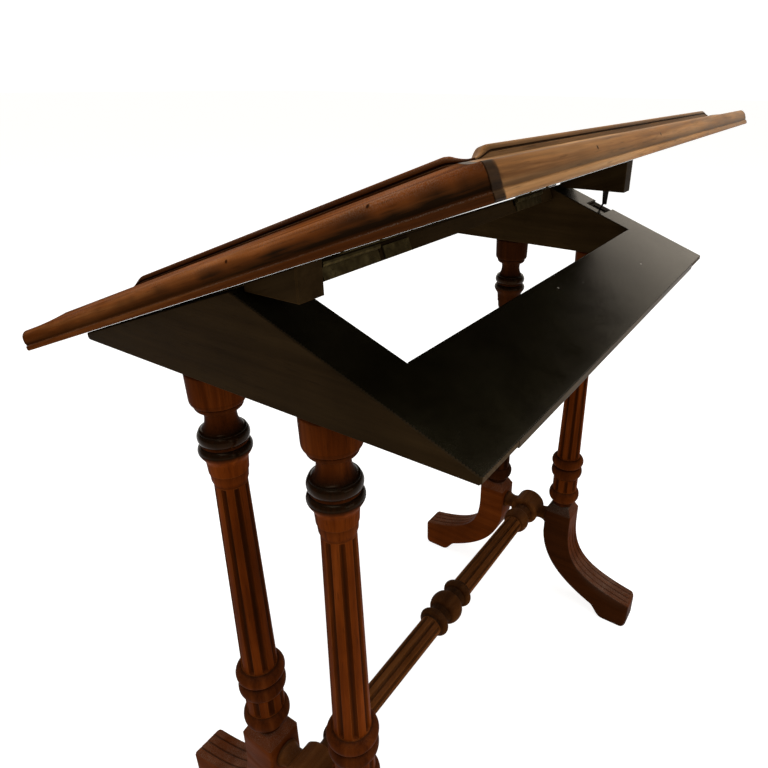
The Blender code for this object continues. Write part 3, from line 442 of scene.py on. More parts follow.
def flutePhases():
    half = fluting["mouth"] / 2
    lands = turnSteps["land"]
    land = [-(0.5 - half) + (1 - 2 * half) * k / lands for k in range(lands + 1)]
    steps = turnSteps["groove"]
    groove = [0.5 - half * math.cos(math.pi * k / steps) for k in range(1, steps)]
    return land + groove


def beadNook(a):
    return max(0.0, 1.0 - turnShape["nook"] * math.sin(a))


def turnedRows(elements):
    rows = []                                 # height, radius, flute share, band, groove
    z = 0.0
    for kind, length, r0, r1, band in elements:
        steps = turnSteps.get(kind, 1)
        quarter = [math.pi / 2 * k / steps for k in range(steps + 1)]
        if kind == "line":
            rows += [(z, r0, 0.0, band, 0.0), (z + length, r1, 0.0, band, 0.0)]
        elif kind == "bead":
            upper, lower = band if isinstance(band, tuple) else (band, band)
            start, reach = turnShape["beadArc"]
            quick, late = turnShape["beadFade"]
            for k in range(steps + 1):
                a = math.pi * (start + reach * k / steps)
                dark = upper + (lower - upper) * min(1.0, max(0.0, quick * k / steps - late))
                height = z + length * (1 - math.cos(a)) / 2
                rows.append((height, r0 + (r1 - r0) * math.sin(a), 0.0, dark, beadNook(a)))
        elif kind == "swell":                 # full at a third of its length, then running out into the next
            upper, lower = band
            neck, foot = r0
            full = turnShape["swellFull"]
            for a in quarter[turnShape["swellStart"]:]:
                height = z + full * length * (1 - math.cos(a))
                rows.append((height, neck + (r1 - neck) * math.sin(a), 0.0, upper, beadNook(a)))
            for k in range(1, steps + 1):
                t = k / steps
                dark = upper + (lower - upper) * min(1.0, turnShape["swellFade"] * t)
                radius = foot + (r1 - foot) * (0.5 + 0.5 * math.cos(math.pi * t))
                rows.append((z + length * (full + (1.0 - full) * t), radius, 0.0, dark, 0.0))
        elif kind == "ovolo":                 # quarter round under a drum
            for k, a in enumerate(quarter):
                nook = turnShape["ovoloNook"] * (k / steps) ** 3
                rows.append((z + length * math.sin(a), r1 + (r0 - r1) * math.cos(a), 0.0, band, nook))
        elif kind == "hollow":                # concave quarter, in to a neck or out from it
            upper, lower = band
            for k, a in enumerate(quarter):
                at, bend = (1 - math.cos(a), 1 - math.sin(a)) if r0 > r1 else (math.sin(a), 1 - math.cos(a))
                dark = min(1.0, upper + (lower - upper) * k / steps)
                rows.append((z + length * at, min(r0, r1) + abs(r1 - r0) * bend, 0.0, dark, 0.0))
        elif kind == "cove":
            for k in range(steps + 1):
                dip = math.sin(math.pi * k / steps)
                nook = turnShape["coveNook"] * dip
                rows.append((z + length * k / steps, r0 + (r1 - r0) * dip, 0.0, band, nook))
        elif kind == "flutes":
            rows.append((z, r0, 0.0, band, fluting["shoulder"]))
            lead = [(fluting["lip"] + fluting["end"] * (1 - math.cos(a)), math.sin(a)) for a in quarter]
            clear = fluting["end"] * 2
            count = turnSteps["shaft"]
            middle = [length * k / count for k in range(1, count)]
            spots = lead + [(at, 1.0) for at in middle if clear < at < length - clear]
            spots += [(length - at, share) for at, share in reversed(lead)]
            for at, share in spots:
                rows.append((z + at, r0 + (r1 - r0) * at / length, share, band, 0.0))
            rows.append((z + length, r1, 0.0, band, fluting["shoulder"]))
        z += length
    kept = [rows[0]]
    for row in rows[1:]:
        if abs(row[0] - kept[-1][0]) + abs(row[1] - kept[-1][1]) > turnShape["merge"]:
            kept.append(row)
    return kept


def turnedPiece(elements, place):
    # rings along +Z, each with the same angles so that the flutes run true
    phases = flutePhases()
    half = fluting["mouth"] / 2
    rings = []
    bands = []
    grooves = []
    for z, radius, share, band, groove in turnedRows(elements):
        ring = []
        for k in range(fluting["count"]):
            for phase in phases:
                off = abs(phase - 0.5) / half
                cut = share * math.sqrt(max(0.0, 1.0 - off * off)) if off < 1.0 else 0.0
                angle = math.tau * (k + phase) / fluting["count"]
                r = radius - fluting["depth"] * cut
                ring.append(place @ Vector((r * math.cos(angle), r * math.sin(angle), z)))
                bands.append(band)
                grooves.append(max(groove, cut ** fluting["shade"]))
        rings.append(ring)
    verts, faces = loftRings(rings)
    return verts, faces, {"stainAndShade": bands, "groove": grooves}


def lengthOf(elements):
    return sum(element[1] for element in elements)


# where the stand lies in the frame, read from the joint
hinge = Vector(joints["top_tilt"]["pos_m"])
ridgeSet = 0.0036                             # ridge in front of the hinge axis
standShift = hinge.y - ridgeSet
endX = 0.2615
columnY = 0.0594
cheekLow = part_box("cheek_near")[0][2]
hubHeight = 0.150
hubHalf = 0.018                               # half the length of a hub's drum
blockHalf = 0.021                             # half the depth of a foot's block
gap = 0.0003
ends = {"near": 1, "far": -1}
sides = {"back": 1, "front": -1}

columnTurning = {
    "seat": 0.184,
    "tenon": ("line", 0.0150, 0.0100, 0.0100, 0.0),
    "head": [
        ("line", 0.0020, 0.0215, 0.0227, 0.45),
        ("line", 0.0225, 0.0227, 0.0222, 0.28),
        ("ovolo", 0.0048, 0.0222, 0.0198, 0.45),
        ("line", 0.0006, 0.0192, 0.0192, 0.90),
        ("ovolo", 0.0050, 0.0196, 0.0164, 0.60),
        ("hollow", 0.0066, 0.0160, 0.0127, (0.65, 0.45)),
        ("hollow", 0.0127, 0.0127, 0.0190, (0.45, 1.1)),
        ("line", 0.0008, 0.0186, 0.0186, 1.0),
        ("bead", 0.0100, 0.0180, 0.0210, (1.0, 0.95)),
        ("line", 0.0018, 0.0187, 0.0190, 0.68),
        ("swell", 0.0173, (0.0165, 0.0170), 0.0219, (1.0, 0.0)),
        ("line", 0.0095, 0.0170, 0.0164, 0.04),
        ("line", 0.0006, 0.0164, 0.0157, 0.35),
        ("line", 0.0075, 0.0157, 0.0152, 0.10),
        ("line", 0.0040, 0.0152, 0.0139, 0.50),
    ],
    "shaft": (0.0139, 0.0172),
    "base": [
        ("bead", 0.0165, 0.0168, 0.0240, 0.45),
        ("bead", 0.0195, 0.0170, 0.0234, 0.55),
        ("flutes", 0.0240, 0.0190, 0.0190, 0.20),
        ("bead", 0.0205, 0.0168, 0.0233, 0.50),
        ("cove", 0.0080, 0.0152, 0.0130, 0.60),
    ],
    "footTenon": ("line", 0.0210, 0.0100, 0.0100, 0.0),
    "turn": {"near_back": -17.0},             # flutes as they fall in the photo, in degrees
    "paintedShade": {"far_front": 0.82, "far_back": 0.10},     # painted shade all over the far columns, which stand in shade: the least dark band of each
    "blackFrom": 0.85,                        # bands darker than this have the black gloss
}


def makeColumn(lie, x, y):
    sheet = columnTurning
    name = "column_" + lie
    turn = Matrix.Rotation(math.radians(sheet["turn"].get(lie, 0.0)), 4, "Z")
    upper = sheet["tenon"]
    span = cheekLow - gap - sheet["seat"] - gap
    shaft = span - lengthOf(sheet["head"]) - lengthOf(sheet["base"])
    elements = [upper] + sheet["head"] + [("flutes", shaft, *sheet["shaft"], 0.0)] + sheet["base"]
    elements.append(sheet["footTenon"])
    place = Matrix.Translation((x, y, cheekLow - gap + upper[1])) @ turn @ Matrix.Rotation(math.pi, 4, "X")
    verts, faces, marks = turnedPiece(elements, place)
    # painted shade: the far columns darkened all over as if they stood in shade
    marks["stainAndShade"] = [max(mark, sheet["paintedShade"].get(lie, 0.0)) for mark in marks["stainAndShade"]]

    def isBlack(face):
        return min(marks["stainAndShade"][i] for i in face.vertices) > sheet["blackFrom"]

    dressPiece("turned_" + name, verts, faces, "frame", "columnWood", [name], marks,
               other=("torusWood", isBlack))


for end, sx in ends.items():
    for lie, sy in sides.items():
        makeColumn(end + "_" + lie, sx * endX, standShift + sy * columnY)
print("columns turned: 4")

stretcherTurning = {
    "tenon": ("line", 0.0150, 0.0090, 0.0090, 0.0),
    "outer": [("bead", 0.0220, 0.0140, 0.0198, 0.45), ("cove", 0.0140, 0.0140, 0.0132, 0.50)],
    "inner": [("cove", 0.0115, 0.0152, 0.0130, 0.75), ("bead", 0.0115, 0.0150, 0.0208, 0.60),
              ("line", 0.0020, 0.0160, 0.0150, 0.80)],
    "shaft": (0.0145, 0.0137),
    "ball": ("bead", 0.0250, 0.0150, 0.0224, 0.50),
    "shoulder": endX - hubHalf - gap,
}


def makeStretcher():
    sheet = stretcherTurning
    shaft = sheet["shoulder"] - sheet["ball"][1] / 2 - lengthOf(sheet["inner"]) - lengthOf(sheet["outer"])
    thick, thin = sheet["shaft"]
    elements = [sheet["tenon"]] + sheet["outer"][::-1] + [("flutes", shaft, thin, thick, 0.0)]
    elements += sheet["inner"][::-1] + [sheet["ball"]] + sheet["inner"]
    elements += [("flutes", shaft, thick, thin, 0.0)] + sheet["outer"] + [sheet["tenon"]]
    start = Matrix.Translation((-lengthOf(elements) / 2, standShift, hubHeight))
    verts, faces, marks = turnedPiece(elements, start @ Matrix.Rotation(math.pi / 2, 4, "Y"))
    dressPiece("turned_stretcher", verts, faces, "frame", "stretcherWood", ["stretcher"],
               marks)


makeStretcher()

# hubs: a drum on the stretcher's axis and a turned arm to each foot block
hubTurning = {
    "drum": [("line", 0.0030, 0.0198, 0.0228, 0.30), ("line", 0.0300, 0.0228, 0.0228, 0.15),
             ("line", 0.0030, 0.0228, 0.0198, 0.30)],
    "root": ("line", 0.0060, 0.0128, 0.0128, 0.3),     # sunk into the drum
    "rootEnd": 0.0168,
    "neck": (0.0128, 0.0105, 0.25),
    "collar": ("line", 0.0030, 0.0135, 0.0135, 0.40),
    "stub": ("line", 0.0080, 0.0080, 0.0080, 0.0),
    "face": columnY - blockHalf - gap,
}


def makeHub(name, x):
    sheet = hubTurning
    along = Matrix.Translation((x - lengthOf(sheet["drum"]) / 2, standShift, hubHeight))
    verts, faces, marks = turnedPiece(sheet["drum"], along @ Matrix.Rotation(math.pi / 2, 4, "Y"))
    neck = ("cove", sheet["face"] - sheet["rootEnd"] - sheet["collar"][1], *sheet["neck"])
    arm = [sheet["root"], neck, sheet["collar"], sheet["stub"]]
    for sy in sides.values():
        start = Matrix.Translation((x, standShift + sy * (sheet["rootEnd"] - sheet["root"][1]), hubHeight))
        more = turnedPiece(arm, start @ Matrix.Rotation(-sy * math.pi / 2, 4, "X"))
        base = len(verts)
        verts = verts + more[0]
        faces = faces + [tuple(base + i for i in face) for face in more[1]]
        marks = {key: marks[key] + more[2][key] for key in marks}
    dressPiece("turned_" + name, verts, faces, "frame", "stretcherWood", [name], marks)


for end, sx in ends.items():
    makeHub("hub_" + end, sx * endX)
print("stretcher and hubs turned: 3")

# feet: swept leg under a block with a canted cap, four soft reeds on the upper face
footSheet = {
    "thick": 0.040, "ease": 0.0025, "block": 2 * blockHalf, "top": 0.184, "cap": (0.012, 0.0063),
    "capAt": (0.0, 0.035, 0.10, 0.18, 0.97), "capRound": (0.0012, 0.0005, 0.0001, 0.0, 0.0),
    "knee": 0.036, "arch": 0.056, "toeY": 0.1905, "toeTop": 0.0465, "toeRound": 0.0085, "toeDrop": 0.0070,
    "toeSides": 0.0055, "pad": 0.035, "heel": 0.016, "archLow": 0.0200,
    "underPulls": ((0.004, 0.082), (0.030, 0.048)), "upperPulls": ((0.0, 0.085), (0.025, 0.062)),
    "heelCurve": (0.55, 0.006, 0.30, 0.45),   # shares of the heel, and the first pull's drop
    "upperAt": (0.78, 0.88),                  # how far along the upper curve the leg and the heel end
    "reeds": 4, "reedDepth": 0.0014, "reedSoft": 5.0, "reedLead": 2.0, "reedFade": 0.12,
    "steps": 22, "blockSteps": 4, "heelSteps": 8, "padSteps": 3, "toeSteps": 7,
    "arrisSteps": 4, "reedSteps": 8,
    # painted shade on the feet's sides, darkest on the back feet, with a share of it on the upper face
    "paintedSideShade": {"back": 0.76, "front": 0.0}, "paintedTopShadeShare": 0.3,
    "sidePoints": 7,                          # points of a ring before its upper face
}


def bezier(points, t):
    start, lead, trail, finish = (Vector(p) for p in points)
    u = 1 - t
    return start * u ** 3 + lead * (3 * u * u * t) + trail * (3 * u * t * t) + finish * t ** 3


def footStations():
    # under point, upper point, share of reed depth and narrowing, from the block to the toe
    s = footSheet
    inner = columnY - s["block"] / 2
    outer = columnY + s["block"] / 2
    base = s["top"] - s["cap"][0]
    padEnd = s["toeY"] - s["toeRound"]
    padStart = padEnd - s["pad"]
    archEnd = padStart - s["heel"]
    kneeZ = s["top"] - s["knee"]
    archZ = s["top"] - s["arch"]
    lower = [(inner, archZ)] + [(inner + y, z) for y, z in s["underPulls"]] + [(archEnd, s["archLow"])]
    upper = [(outer, kneeZ)] + [(outer + y, z) for y, z in s["upperPulls"]]
    upper.append((s["toeY"] - s["toeDrop"], s["toeTop"]))
    rows = [((inner, base), (outer, base), 0.0, 0.0)]
    for k in range(1, s["blockSteps"]):
        t = k / s["blockSteps"]
        rows.append(((inner, base + (archZ - base) * t), (outer, base + (kneeZ - base) * t), 0.0, 0.0))
    legEnd, heelEnd = s["upperAt"]
    for k in range(s["steps"] + 1):
        t = k / s["steps"]
        rows.append((bezier(lower, t), bezier(upper, legEnd * t), min(1.0, k / s["reedLead"]), 0.0))
    lead, drop, trail, run = s["heelCurve"]
    heel = [(archEnd, s["archLow"]), (archEnd + s["heel"] * lead, s["archLow"] - drop),
            (padStart - s["heel"] * trail, 0.0), (padStart + s["heel"] * run, 0.0)]
    for k in range(1, s["heelSteps"] + 1):
        t = k / s["heelSteps"]
        rows.append((bezier(heel, t), bezier(upper, legEnd + (heelEnd - legEnd) * t), 1.0, 0.0))
    flatStart = heel[3][0]
    for k in range(1, s["padSteps"] + 1):
        t = k / s["padSteps"]
        under = (flatStart + (padEnd - flatStart) * t, 0.0)
        rows.append((under, bezier(upper, heelEnd + (1.0 - heelEnd) * t), 1.0, 0.0))
    for k in range(1, s["toeSteps"] + 1):
        a = math.pi / 2 * k / s["toeSteps"]
        under = (padEnd + s["toeRound"] * math.sin(a), s["toeRound"] * (1 - math.cos(a)))
        over = (s["toeY"] - s["toeDrop"] * (1 - math.sin(a)), s["toeTop"] - s["toeDrop"] * (1 - math.cos(a)))
        rows.append((under, over, 1.0 - s["reedFade"] * k, s["toeSides"] * (1 - math.cos(a))))
    return [(Vector(under), Vector(over), share, narrow) for under, over, share, narrow in rows]


def footRing(under, over, share, narrow):
    s = footSheet
    half = s["thick"] / 2 - narrow
    ease = s["ease"]
    down = (under - over).normalized()
    arris = []                                # lower arrises rounded
    for k in range(s["arrisSteps"] + 1):
        a = math.pi / 2 * k / s["arrisSteps"]
        arris.append((half - ease * (1 - math.sin(a)), under - down * ease * (1 - math.cos(a)), 0.0))
    top = []
    perReed = s["reedSteps"]
    count = s["reeds"] * perReed
    for k in range(count + 1):
        u = 1.0 - 2.0 * k / count
        p = abs(2.0 * ((k / perReed) % 1.0) - 1.0)
        dip = 1.0 - (1.0 - p ** s["reedSoft"]) ** (1.0 / s["reedSoft"])
        rim = max(0.0, abs(u) - 1.0 + ease / half) * half / ease
        drop = ease * (1.0 - math.sqrt(max(0.0, 1.0 - rim * rim)))
        inside = dip if rim == 0.0 else 0.0
        top.append((u * half, over + down * max(drop, s["reedDepth"] * share * inside), share * inside))
    return arris + top + [(-dx, p, groove) for dx, p, groove in reversed(arris)]


def makeFoot(end, lie):
    s = footSheet
    name = "foot_" + end + "_" + lie
    x = ends[end] * endX
    side = sides[lie]
    rings = []
    grooves = []
    for station in footStations():
        row = footRing(*station)
        rings.append([Vector((x + dx, standShift + side * p.x, p.y)) for dx, p, groove in row])
        grooves += [groove for dx, p, groove in row]
    capHigh, capIn = s["cap"]
    middle = standShift + side * columnY
    caps = []
    for t, edgeRound in zip(s["capAt"], s["capRound"]):     # canted cap with a small rounded top edge
        draw = capIn * (1 - t) + edgeRound
        keepX = 1 - 2 * draw / s["thick"]
        keepY = 1 - 2 * draw / s["block"]
        z = s["top"] - capHigh * t
        caps.append([Vector((x + (p.x - x) * keepX, middle + (p.y - middle) * keepY, z)) for p in rings[0]])
    grooves = [0.0] * (len(caps) * len(rings[0])) + grooves
    verts, faces = loftRings(caps + rings)
    # painted shade on the sides of the back feet, less of it on the upper face
    dark = s["paintedSideShade"][lie]
    shadedFlank = [dark] * s["sidePoints"]
    stainsAndShade = shadedFlank + [dark * s["paintedTopShadeShare"]] * (len(rings[0]) - 2 * len(shadedFlank)) + shadedFlank
    marks = {"stainAndShade": stainsAndShade * len(caps + rings), "groove": grooves}
    dressPiece("swept_" + name, verts, faces, "frame", "footWood", [name], marks)


for end in ends:
    for lie in sides:
        makeFoot(end, lie)
print("feet swept: 4")

# thin black facing on the slopes of the cheeks and the boards' upper faces, with a pinked outer edge
facingSheet = {
    "thick": 0.00018, "lift": 0.00003, "ridgeHigh": 0.6739, "fall": 0.3762,
    "outer": 0.2836, "inner": 0.2393, "upper": 0.0036, "board": 0.1082, "lower": 0.1883,
    "tooth": 0.0010, "pitch": 0.0022,
    "gain": (0.2522, 0.0456, 0.0714),         # opening round the strike plate: how far in, from and to
}


def pinkedEdge(start, finish):
    count = 2 * max(1, round((finish - start).length / facingSheet["pitch"]))
    along = (finish - start) / count
    inward = Vector((along.y, -along.x)).normalized() * facingSheet["tooth"]
    return [start + along * k + inward * (k % 2) for k in range(count)]


def makeFacing(lie):
    s = facingSheet
    side = sides[lie]
    corners = [Vector((s["outer"], s["upper"])), Vector((s["outer"], s["lower"])),
               Vector((-s["outer"], s["lower"])), Vector((-s["outer"], s["upper"]))]
    outline = pinkedEdge(corners[0], corners[1]) + pinkedEdge(corners[1], corners[2])
    if lie == "back":
        deep, top, bottom = s["gain"]
        step = Vector((-s["outer"], bottom))
        outline += pinkedEdge(corners[2], step) + [step, Vector((-deep, bottom)), Vector((-deep, top))]
        outline += pinkedEdge(Vector((-s["outer"], top)), corners[3])
    else:
        outline += pinkedEdge(corners[2], corners[3])
    outline += [corners[3], Vector((-s["inner"], s["upper"])), Vector((-s["inner"], s["board"])),
                Vector((s["inner"], s["board"])), Vector((s["inner"], s["upper"]))]
    normal = Vector((0.0, side * s["fall"], 1.0)).normalized()
    flat = [Vector((p.x, standShift + side * p.y, s["ridgeHigh"] - s["fall"] * p.y)) for p in outline]
    verts = [p + normal * s["lift"] for p in flat] + [p + normal * s["thick"] for p in flat]
    count = len(outline)
    lids = tessellate_polygon([[p.to_3d() for p in outline]])
    faces = [tuple(lid) for lid in lids] + [tuple(count + i for i in lid) for lid in lids]
    faces += [(i, (i + 1) % count, count + (i + 1) % count, count + i) for i in range(count)]
    dressPiece("slope_facing_" + lie, verts, faces, "frame", "facingBlack", [])


for lie in sides:
    makeFacing(lie)
print("slopes faced: 2")

# top: moulded edges and lips in the top's own frame, y along the top from the hinge axis
topFrame = Matrix.Translation(hinge) @ Matrix.Rotation(lean, 4, "X")
topSheet = {"half": 0.319, "front": -0.24064, "back": 0.21872, "under": 0.0041, "core": 0.0188}
mouldingSheet = {
    "wide": 0.030, "high": 0.0208, "quirk": 0.0016, "dish": 0.0016, "dishSteps": 10,
    "roundTop": 0.0165, "roundIn": 0.0042, "roundDrop": 0.0070, "roundSteps": 9, "roundFoot": 0.0064,
    "roundSet": 0.0002, "hollow": 0.0004, "fillet": 0.0044, "ease": 0.0008, "pitch": 0.008, "sharp": 38.0,
    "knock": 0.00035, "knockDrop": 0.3,       # how deep the edges are knocked, and how far down that goes
    "dentRise": 3, "dentScale": 55.0, "dentFine": (0.5, 190.0),     # noise that places the knocks
    "shadeTop": (0.0080, 0.0150), "ragged": 0.0035,     # painted shade and grime on the lower part fade out between these heights, unevenly
    # painted shade, with some grime, on the lower part of each run: how dark on each run
    "shade": {"front": 0.6, "near": 1.30, "back": 0.20, "far": 0.6},
    "shadeStart": 0.33, "shadeFillet": 0.6,   # less of the painted shade and grime at a run's start and on the fillet
    "mitreStations": (0.0020, 0.0045, 0.0070, 0.0088, 0.0102, 0.0125), "mitreRagged": 0.001,
    "soft": (0.6, 0.0, 0.011),                # grime at a mitre: how dark, full up to, clear from
    "patch": (1.0, 0.0088, 0.0102),           # worn dark patch on the back run, at the near corner
    "underFacing": -0.8,                      # faces turned down more than this match the core
}


def runOf(start, finish):
    along = (finish - start).normalized()
    return along, Vector((-along.y, along.x)), (finish - start).length


def mouldingRow():
    # in from the edge, up from the underside, groove mark, share of the knocks it takes
    s = mouldingSheet
    crown = Vector((s["wide"] - s["quirk"], s["high"]))
    brow = Vector((s["roundSet"] + s["roundIn"], s["roundTop"]))
    sag = (crown + brow) / 2 - Vector((0.0, s["dish"]))
    row = [(s["ease"], 0.0, 0.0, 0.4), (s["wide"], 0.0, 0.0, 0.0)]
    row += [(s["wide"], s["high"] - s["quirk"], 1.0, 0.0)]
    for k in range(s["dishSteps"] + 1):
        u = k / s["dishSteps"]
        p = crown * (1 - u) ** 2 + sag * (2 * u * (1 - u)) + brow * u * u
        row.append((p.x, p.y, 0.5 if k == 0 else 0.0, 0.5))
    for k in range(1, s["roundSteps"] + 1):
        a = math.pi / 2 * k / s["roundSteps"]
        h = s["roundTop"] - s["roundDrop"] * (1 - math.cos(a))
        row.append((brow.x - s["roundIn"] * math.sin(a), h, 0.0, 0.6))
    sunk = s["roundSet"] + s["hollow"]
    row += [(s["roundSet"], s["roundFoot"], 0.7, 0.3), (sunk, s["roundFoot"] - s["ease"], 1.0, 0.0)]
    row += [(sunk, s["fillet"] + s["ease"] / 2, 1.0, 0.0), (s["ease"], s["fillet"], 0.2, 0.8)]
    row += [(0.0, s["fillet"] - s["ease"], 0.0, 1.0), (0.0, s["ease"], 0.0, 1.0)]
    return row


def makeMoulding(lie, start, finish, wood):
    s = mouldingSheet
    along, inward, length = runOf(start, finish)
    count = int(length / s["pitch"])
    mitres = [at / length for at in s["mitreStations"]]
    shares = [0.0] + mitres + [k / count for k in range(2, count - 1)]
    shares += [1.0 - share for share in mitres[::-1]] + [1.0]
    weak, fine = s["dentFine"]
    rings = []
    grooves = []
    stainsAndShade = []
    for share in shares:
        ring = []
        for t, h, groove, knocks in mouldingRow():
            lead = t + gap / 2                # mitre at 45 degrees
            at = lead + (length - 2 * lead) * share
            spot = start + along * at
            dent = noise.noise(Vector((spot.x, spot.y, h * s["dentRise"])) * s["dentScale"])
            dent += weak * noise.noise(spot.to_3d() * fine)
            knock = s["knock"] * knocks * max(0.0, dent)
            p = spot + inward * (t + knock)
            drop = knock * s["knockDrop"] if h > s["roundFoot"] else 0.0
            ring.append(topFrame @ Vector((p.x, p.y, topSheet["under"] + h - drop)))
            grooves.append(groove)
            mitre = 0.0
            worn = s["patch"] if lie == "back" else s["soft"]
            for (dark, full, clear), off in ((worn, at - lead), (s["soft"], length - lead - at)):
                mitre = max(mitre, dark * min(1.0, (clear + s["mitreRagged"] * dent - off) / (clear - full)))
            # painted shade and grime: darker towards the underside and towards a run's end
            full, clear = s["shadeTop"]
            low = s["shade"][lie] * min(1.0, max(0.0, (clear + s["ragged"] * dent - h) / (clear - full)))
            low *= s["shadeStart"] + (1.0 - s["shadeStart"]) * share
            low *= s["shadeFillet"] if h < s["roundFoot"] - s["ease"] else 1.0
            stainsAndShade.append(max(mitre, low))
        rings.append(ring)
    verts, faces = loftRings(rings)

    def looksDown(face):
        return face.normal.z < s["underFacing"]

    dressPiece("moulded_edge_" + lie, verts, faces, "top", wood, ["moulding_" + lie],
               {"stainAndShade": stainsAndShade, "groove": grooves}, sharp=s["sharp"], other=("coreWood", looksDown))


lipSheet = {
    "wide": 0.0095, "high": 0.0087, "low": 0.0034, "sweep": 0.0190, "round": 0.0032, "roundShare": 0.34,
    "steps": 7, "sweepSteps": 14, "runSteps": 14, "sharp": 50.0,
    "side": 0.048, "back": 0.0305, "front": 0.104,     # in from the top's edges
    "quirk": (0.64, 0.60, 0.54, 0.50),        # sunk line, as shares of the height
    "sunk": (0.0, 0.0007, 0.0007, 0.0),
    # painted shade, with some stain, on each lip's outer face (shade), fading over a share of the rounding
    # (worn) to the lit top edge; foot darkens below the sunk line
    "shade": {"front": 0.6, "near": 0.75, "back": 0.70, "far": 0.6},
    "worn": {"front": 0.7, "near": 0.4, "back": 0.7, "far": 0.7},
    "foot": {"front": 0.3, "near": 0.25, "back": 0.0, "far": 0.3},
    "inside": 0.1,                            # grime on the inner half
}


def makeLip(lie, start, finish, wood):
    # mitred lip whose height sweeps down to the corners
    s = lipSheet
    along, inward, length = runOf(start, finish)
    spots = [k / s["sweepSteps"] for k in range(s["sweepSteps"] + 1)]
    lead = [(s["sweep"] * u, 1.0 - u, 0.5 - 0.5 * math.cos(math.pi * u)) for u in spots]
    stations = [(at, 1.0, shear, rise) for at, shear, rise in lead]
    run = length - 2 * s["sweep"]
    stations += [(s["sweep"] + run * k / s["runSteps"], 1.0, 0.0, 1.0) for k in range(1, s["runSteps"])]
    stations += [(length - at, -1.0, shear, rise) for at, shear, rise in reversed(lead)]
    base = topSheet["under"] + topSheet["core"] + gap
    rings = []
    stainsAndShade = []
    grooves = []
    for at, way, shear, rise in stations:
        high = s["low"] + (s["high"] - s["low"]) * rise
        bend = min(s["round"], s["roundShare"] * high)
        row = [(0.0, 0.0, 0.0), (s["wide"], 0.0, 0.0)]
        for centre, first in ((s["wide"] - bend, 0), (bend, s["steps"])):
            for k in range(s["steps"] + 1):
                a = math.pi / 2 * (first + k) / s["steps"]
                row.append((centre + bend * math.cos(a), high - bend * (1 - math.sin(a)), 0.0))
        row += [(deep, high * level, 1.0) for deep, level in zip(s["sunk"], s["quirk"])]
        ring = []
        for t, h, groove in row:
            p = start + along * (at + way * (t * shear + gap / 2)) + inward * t
            ring.append(topFrame @ Vector((p.x, p.y, base + h)))
            # painted shade on the outer face, fading out towards the lit top edge
            outer = s["shade"][lie] * min(1.0, (high - h) / (s["worn"][lie] * bend))
            if h <= high * s["quirk"][-1]:
                outer = s["foot"][lie]
            stainsAndShade.append(outer if t < s["wide"] / 2 else s["inside"])
            grooves.append(groove)
        rings.append(ring)
    verts, faces = loftRings(rings)
    dressPiece("swept_lip_" + lie, verts, faces, "top", wood, ["lip_" + lie],
               {"stainAndShade": stainsAndShade, "groove": grooves}, sharp=s["sharp"])


def cornersOf(half, front, back):
    return [Vector((-half, front)), Vector((half, front)), Vector((half, back)), Vector((-half, back))]


topCorners = cornersOf(topSheet["half"], topSheet["front"], topSheet["back"])
lipIn = cornersOf(-lipSheet["side"], lipSheet["front"], -lipSheet["back"])
lipCorners = [corner + move for corner, move in zip(topCorners, lipIn)]
edgeWoods = {
    "front": "coreWood", "near": "endMouldingWood", "back": "backMouldingWoodPaintedLight", "far": "endMouldingWood",
}
for k, (lie, wood) in enumerate(edgeWoods.items()):
    makeMoulding(lie, topCorners[k], topCorners[(k + 1) % 4], wood)
    makeLip(lie, lipCorners[k], lipCorners[(k + 1) % 4], wood)
print("top edges moulded: 4 mouldings, 4 lips")

# CAD pieces that keep their own shape
carriedFinish = {
    "cheek": "cheekWood", "back_board": "boardWood", "front_board": "boardWood", "ridge_rail": "railWood",
    "top_core": "coreWood", "bearer": "bearerWood", "hinge": "agedBrass", "screw": "agedBrass",
    "ridge_plate": "agedBrass", "catch": "workedIron", "strike_plate": "workedIron",
}
for nodeName, node in nodes.items():
    for start, finish in carriedFinish.items():
        if nodeName.startswith(start):
            for place in node.material_slots:
                place.material = finishes[finish]
print("carried nodes finished")

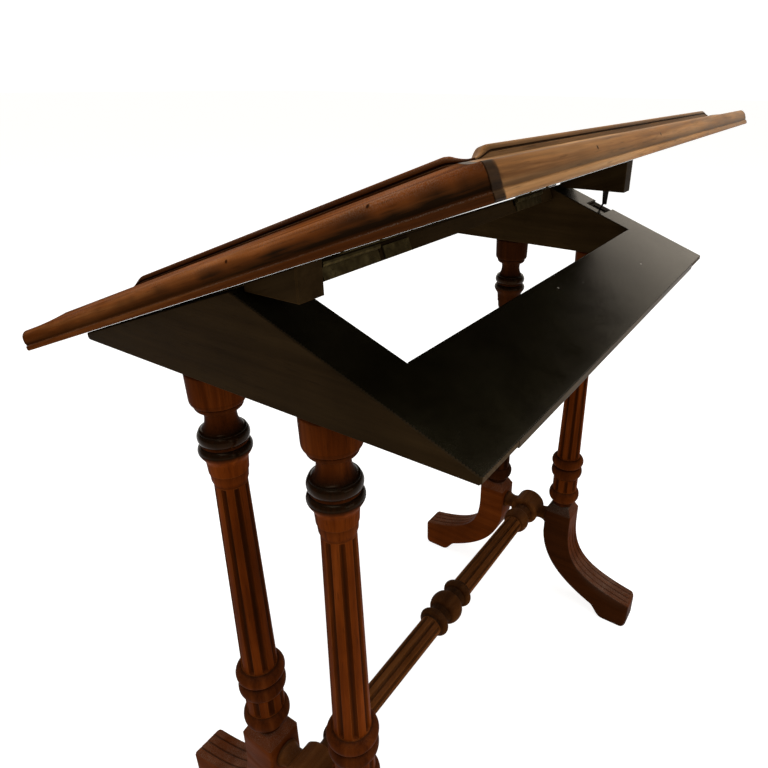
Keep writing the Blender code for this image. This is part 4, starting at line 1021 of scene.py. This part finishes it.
# plain pale floor and soft studio light: white low behind the stand, dimmer elsewhere
studio = {
    "floor": 40.0, "floorTone": (0.42, 0.4284), "floorSpan": (0.3, 0.7), "floorCloud": (2.0, 2.0),
    "floorRough": 0.9, "floorGlow": 0.88, "behind": (-0.80, -0.60, 0.0), "sky": (0.26, 1.40),
    "lowBand": (0.30, 0.37, 1.0, 0.0), "backBand": (0.05, 0.60), "skyTone": (1.0, 0.90, 0.76, 1.0),
    "lamps": [
        # name, place, aim, size, watts
        ("windowLight", (0.2, 2.4, 1.6), (0.0, 0.1, 0.6), 1.5, 18.0),
        ("topLight", (0.2, 0.3, 3.5), (0.0, 0.0, 0.4), 3.0, 120.0),
    ],
}
floorMesh = bpy.data.meshes.new("paleFloor")
bm = bmesh.new()
bmesh.ops.create_grid(bm, x_segments=4, y_segments=4, size=studio["floor"])
bm.to_mesh(floorMesh)
bm.free()
floor = bpy.data.objects.new("paleFloor", floorMesh)
bpy.context.scene.collection.objects.link(floor)
floorMat, floorTree, floorShader = newFinish("paleFloor")
floorCloud = noiseAt(floorTree, addNode(floorTree, "TexCoord").outputs["Object"], *studio["floorCloud"])
floorStops = [(spot, grey(level)) for spot, level in zip(studio["floorSpan"], studio["floorTone"])]
floorTree.links.new(ramp(floorTree, floorCloud, floorStops), floorShader.inputs["Base Color"])
floorShader.inputs["Roughness"].default_value = studio["floorRough"]
floorShader.inputs["Specular IOR Level"].default_value = 0.0
floorShader.inputs["Emission Color"].default_value = (1.0, 1.0, 1.0, 1.0)
floorShader.inputs["Emission Strength"].default_value = studio["floorGlow"]
floorMesh.materials.append(floorMat)

world = bpy.data.worlds.new("studioSky")
world.use_nodes = True
worldTree = world.node_tree
sky = worldTree.nodes["Background"]
skyward = addNode(worldTree, "TexCoord").outputs["Generated"]
skyHeight = addNode(worldTree, "SeparateXYZ", {0: skyward}).outputs[2]
behind = addNode(worldTree, "VectorMath", {0: skyward, 1: studio["behind"]}, operation="DOT_PRODUCT")
lowBand = remap(worldTree, skyHeight, *studio["lowBand"])
backBand = remap(worldTree, behind.outputs["Value"], *studio["backBand"])
skyLevel = remap(worldTree, times(worldTree, lowBand, backBand), 0.0, 1.0, *studio["sky"])
worldTree.links.new(skyLevel, sky.inputs["Strength"])
sky.inputs["Color"].default_value = studio["skyTone"]
bpy.context.scene.world = world
for lampName, spot, target, size, watts in studio["lamps"]:
    lampData = bpy.data.lights.new(lampName, "AREA")
    lampData.size = size
    lampData.energy = watts
    lamp = bpy.data.objects.new(lampName, lampData)
    bpy.context.scene.collection.objects.link(lamp)
    lamp.location = spot
    lamp.rotation_euler = (Vector(target) - Vector(spot)).to_track_quat("-Z", "Y").to_euler()
bpy.context.scene.view_settings.view_transform = "Standard"
print("studio lit")
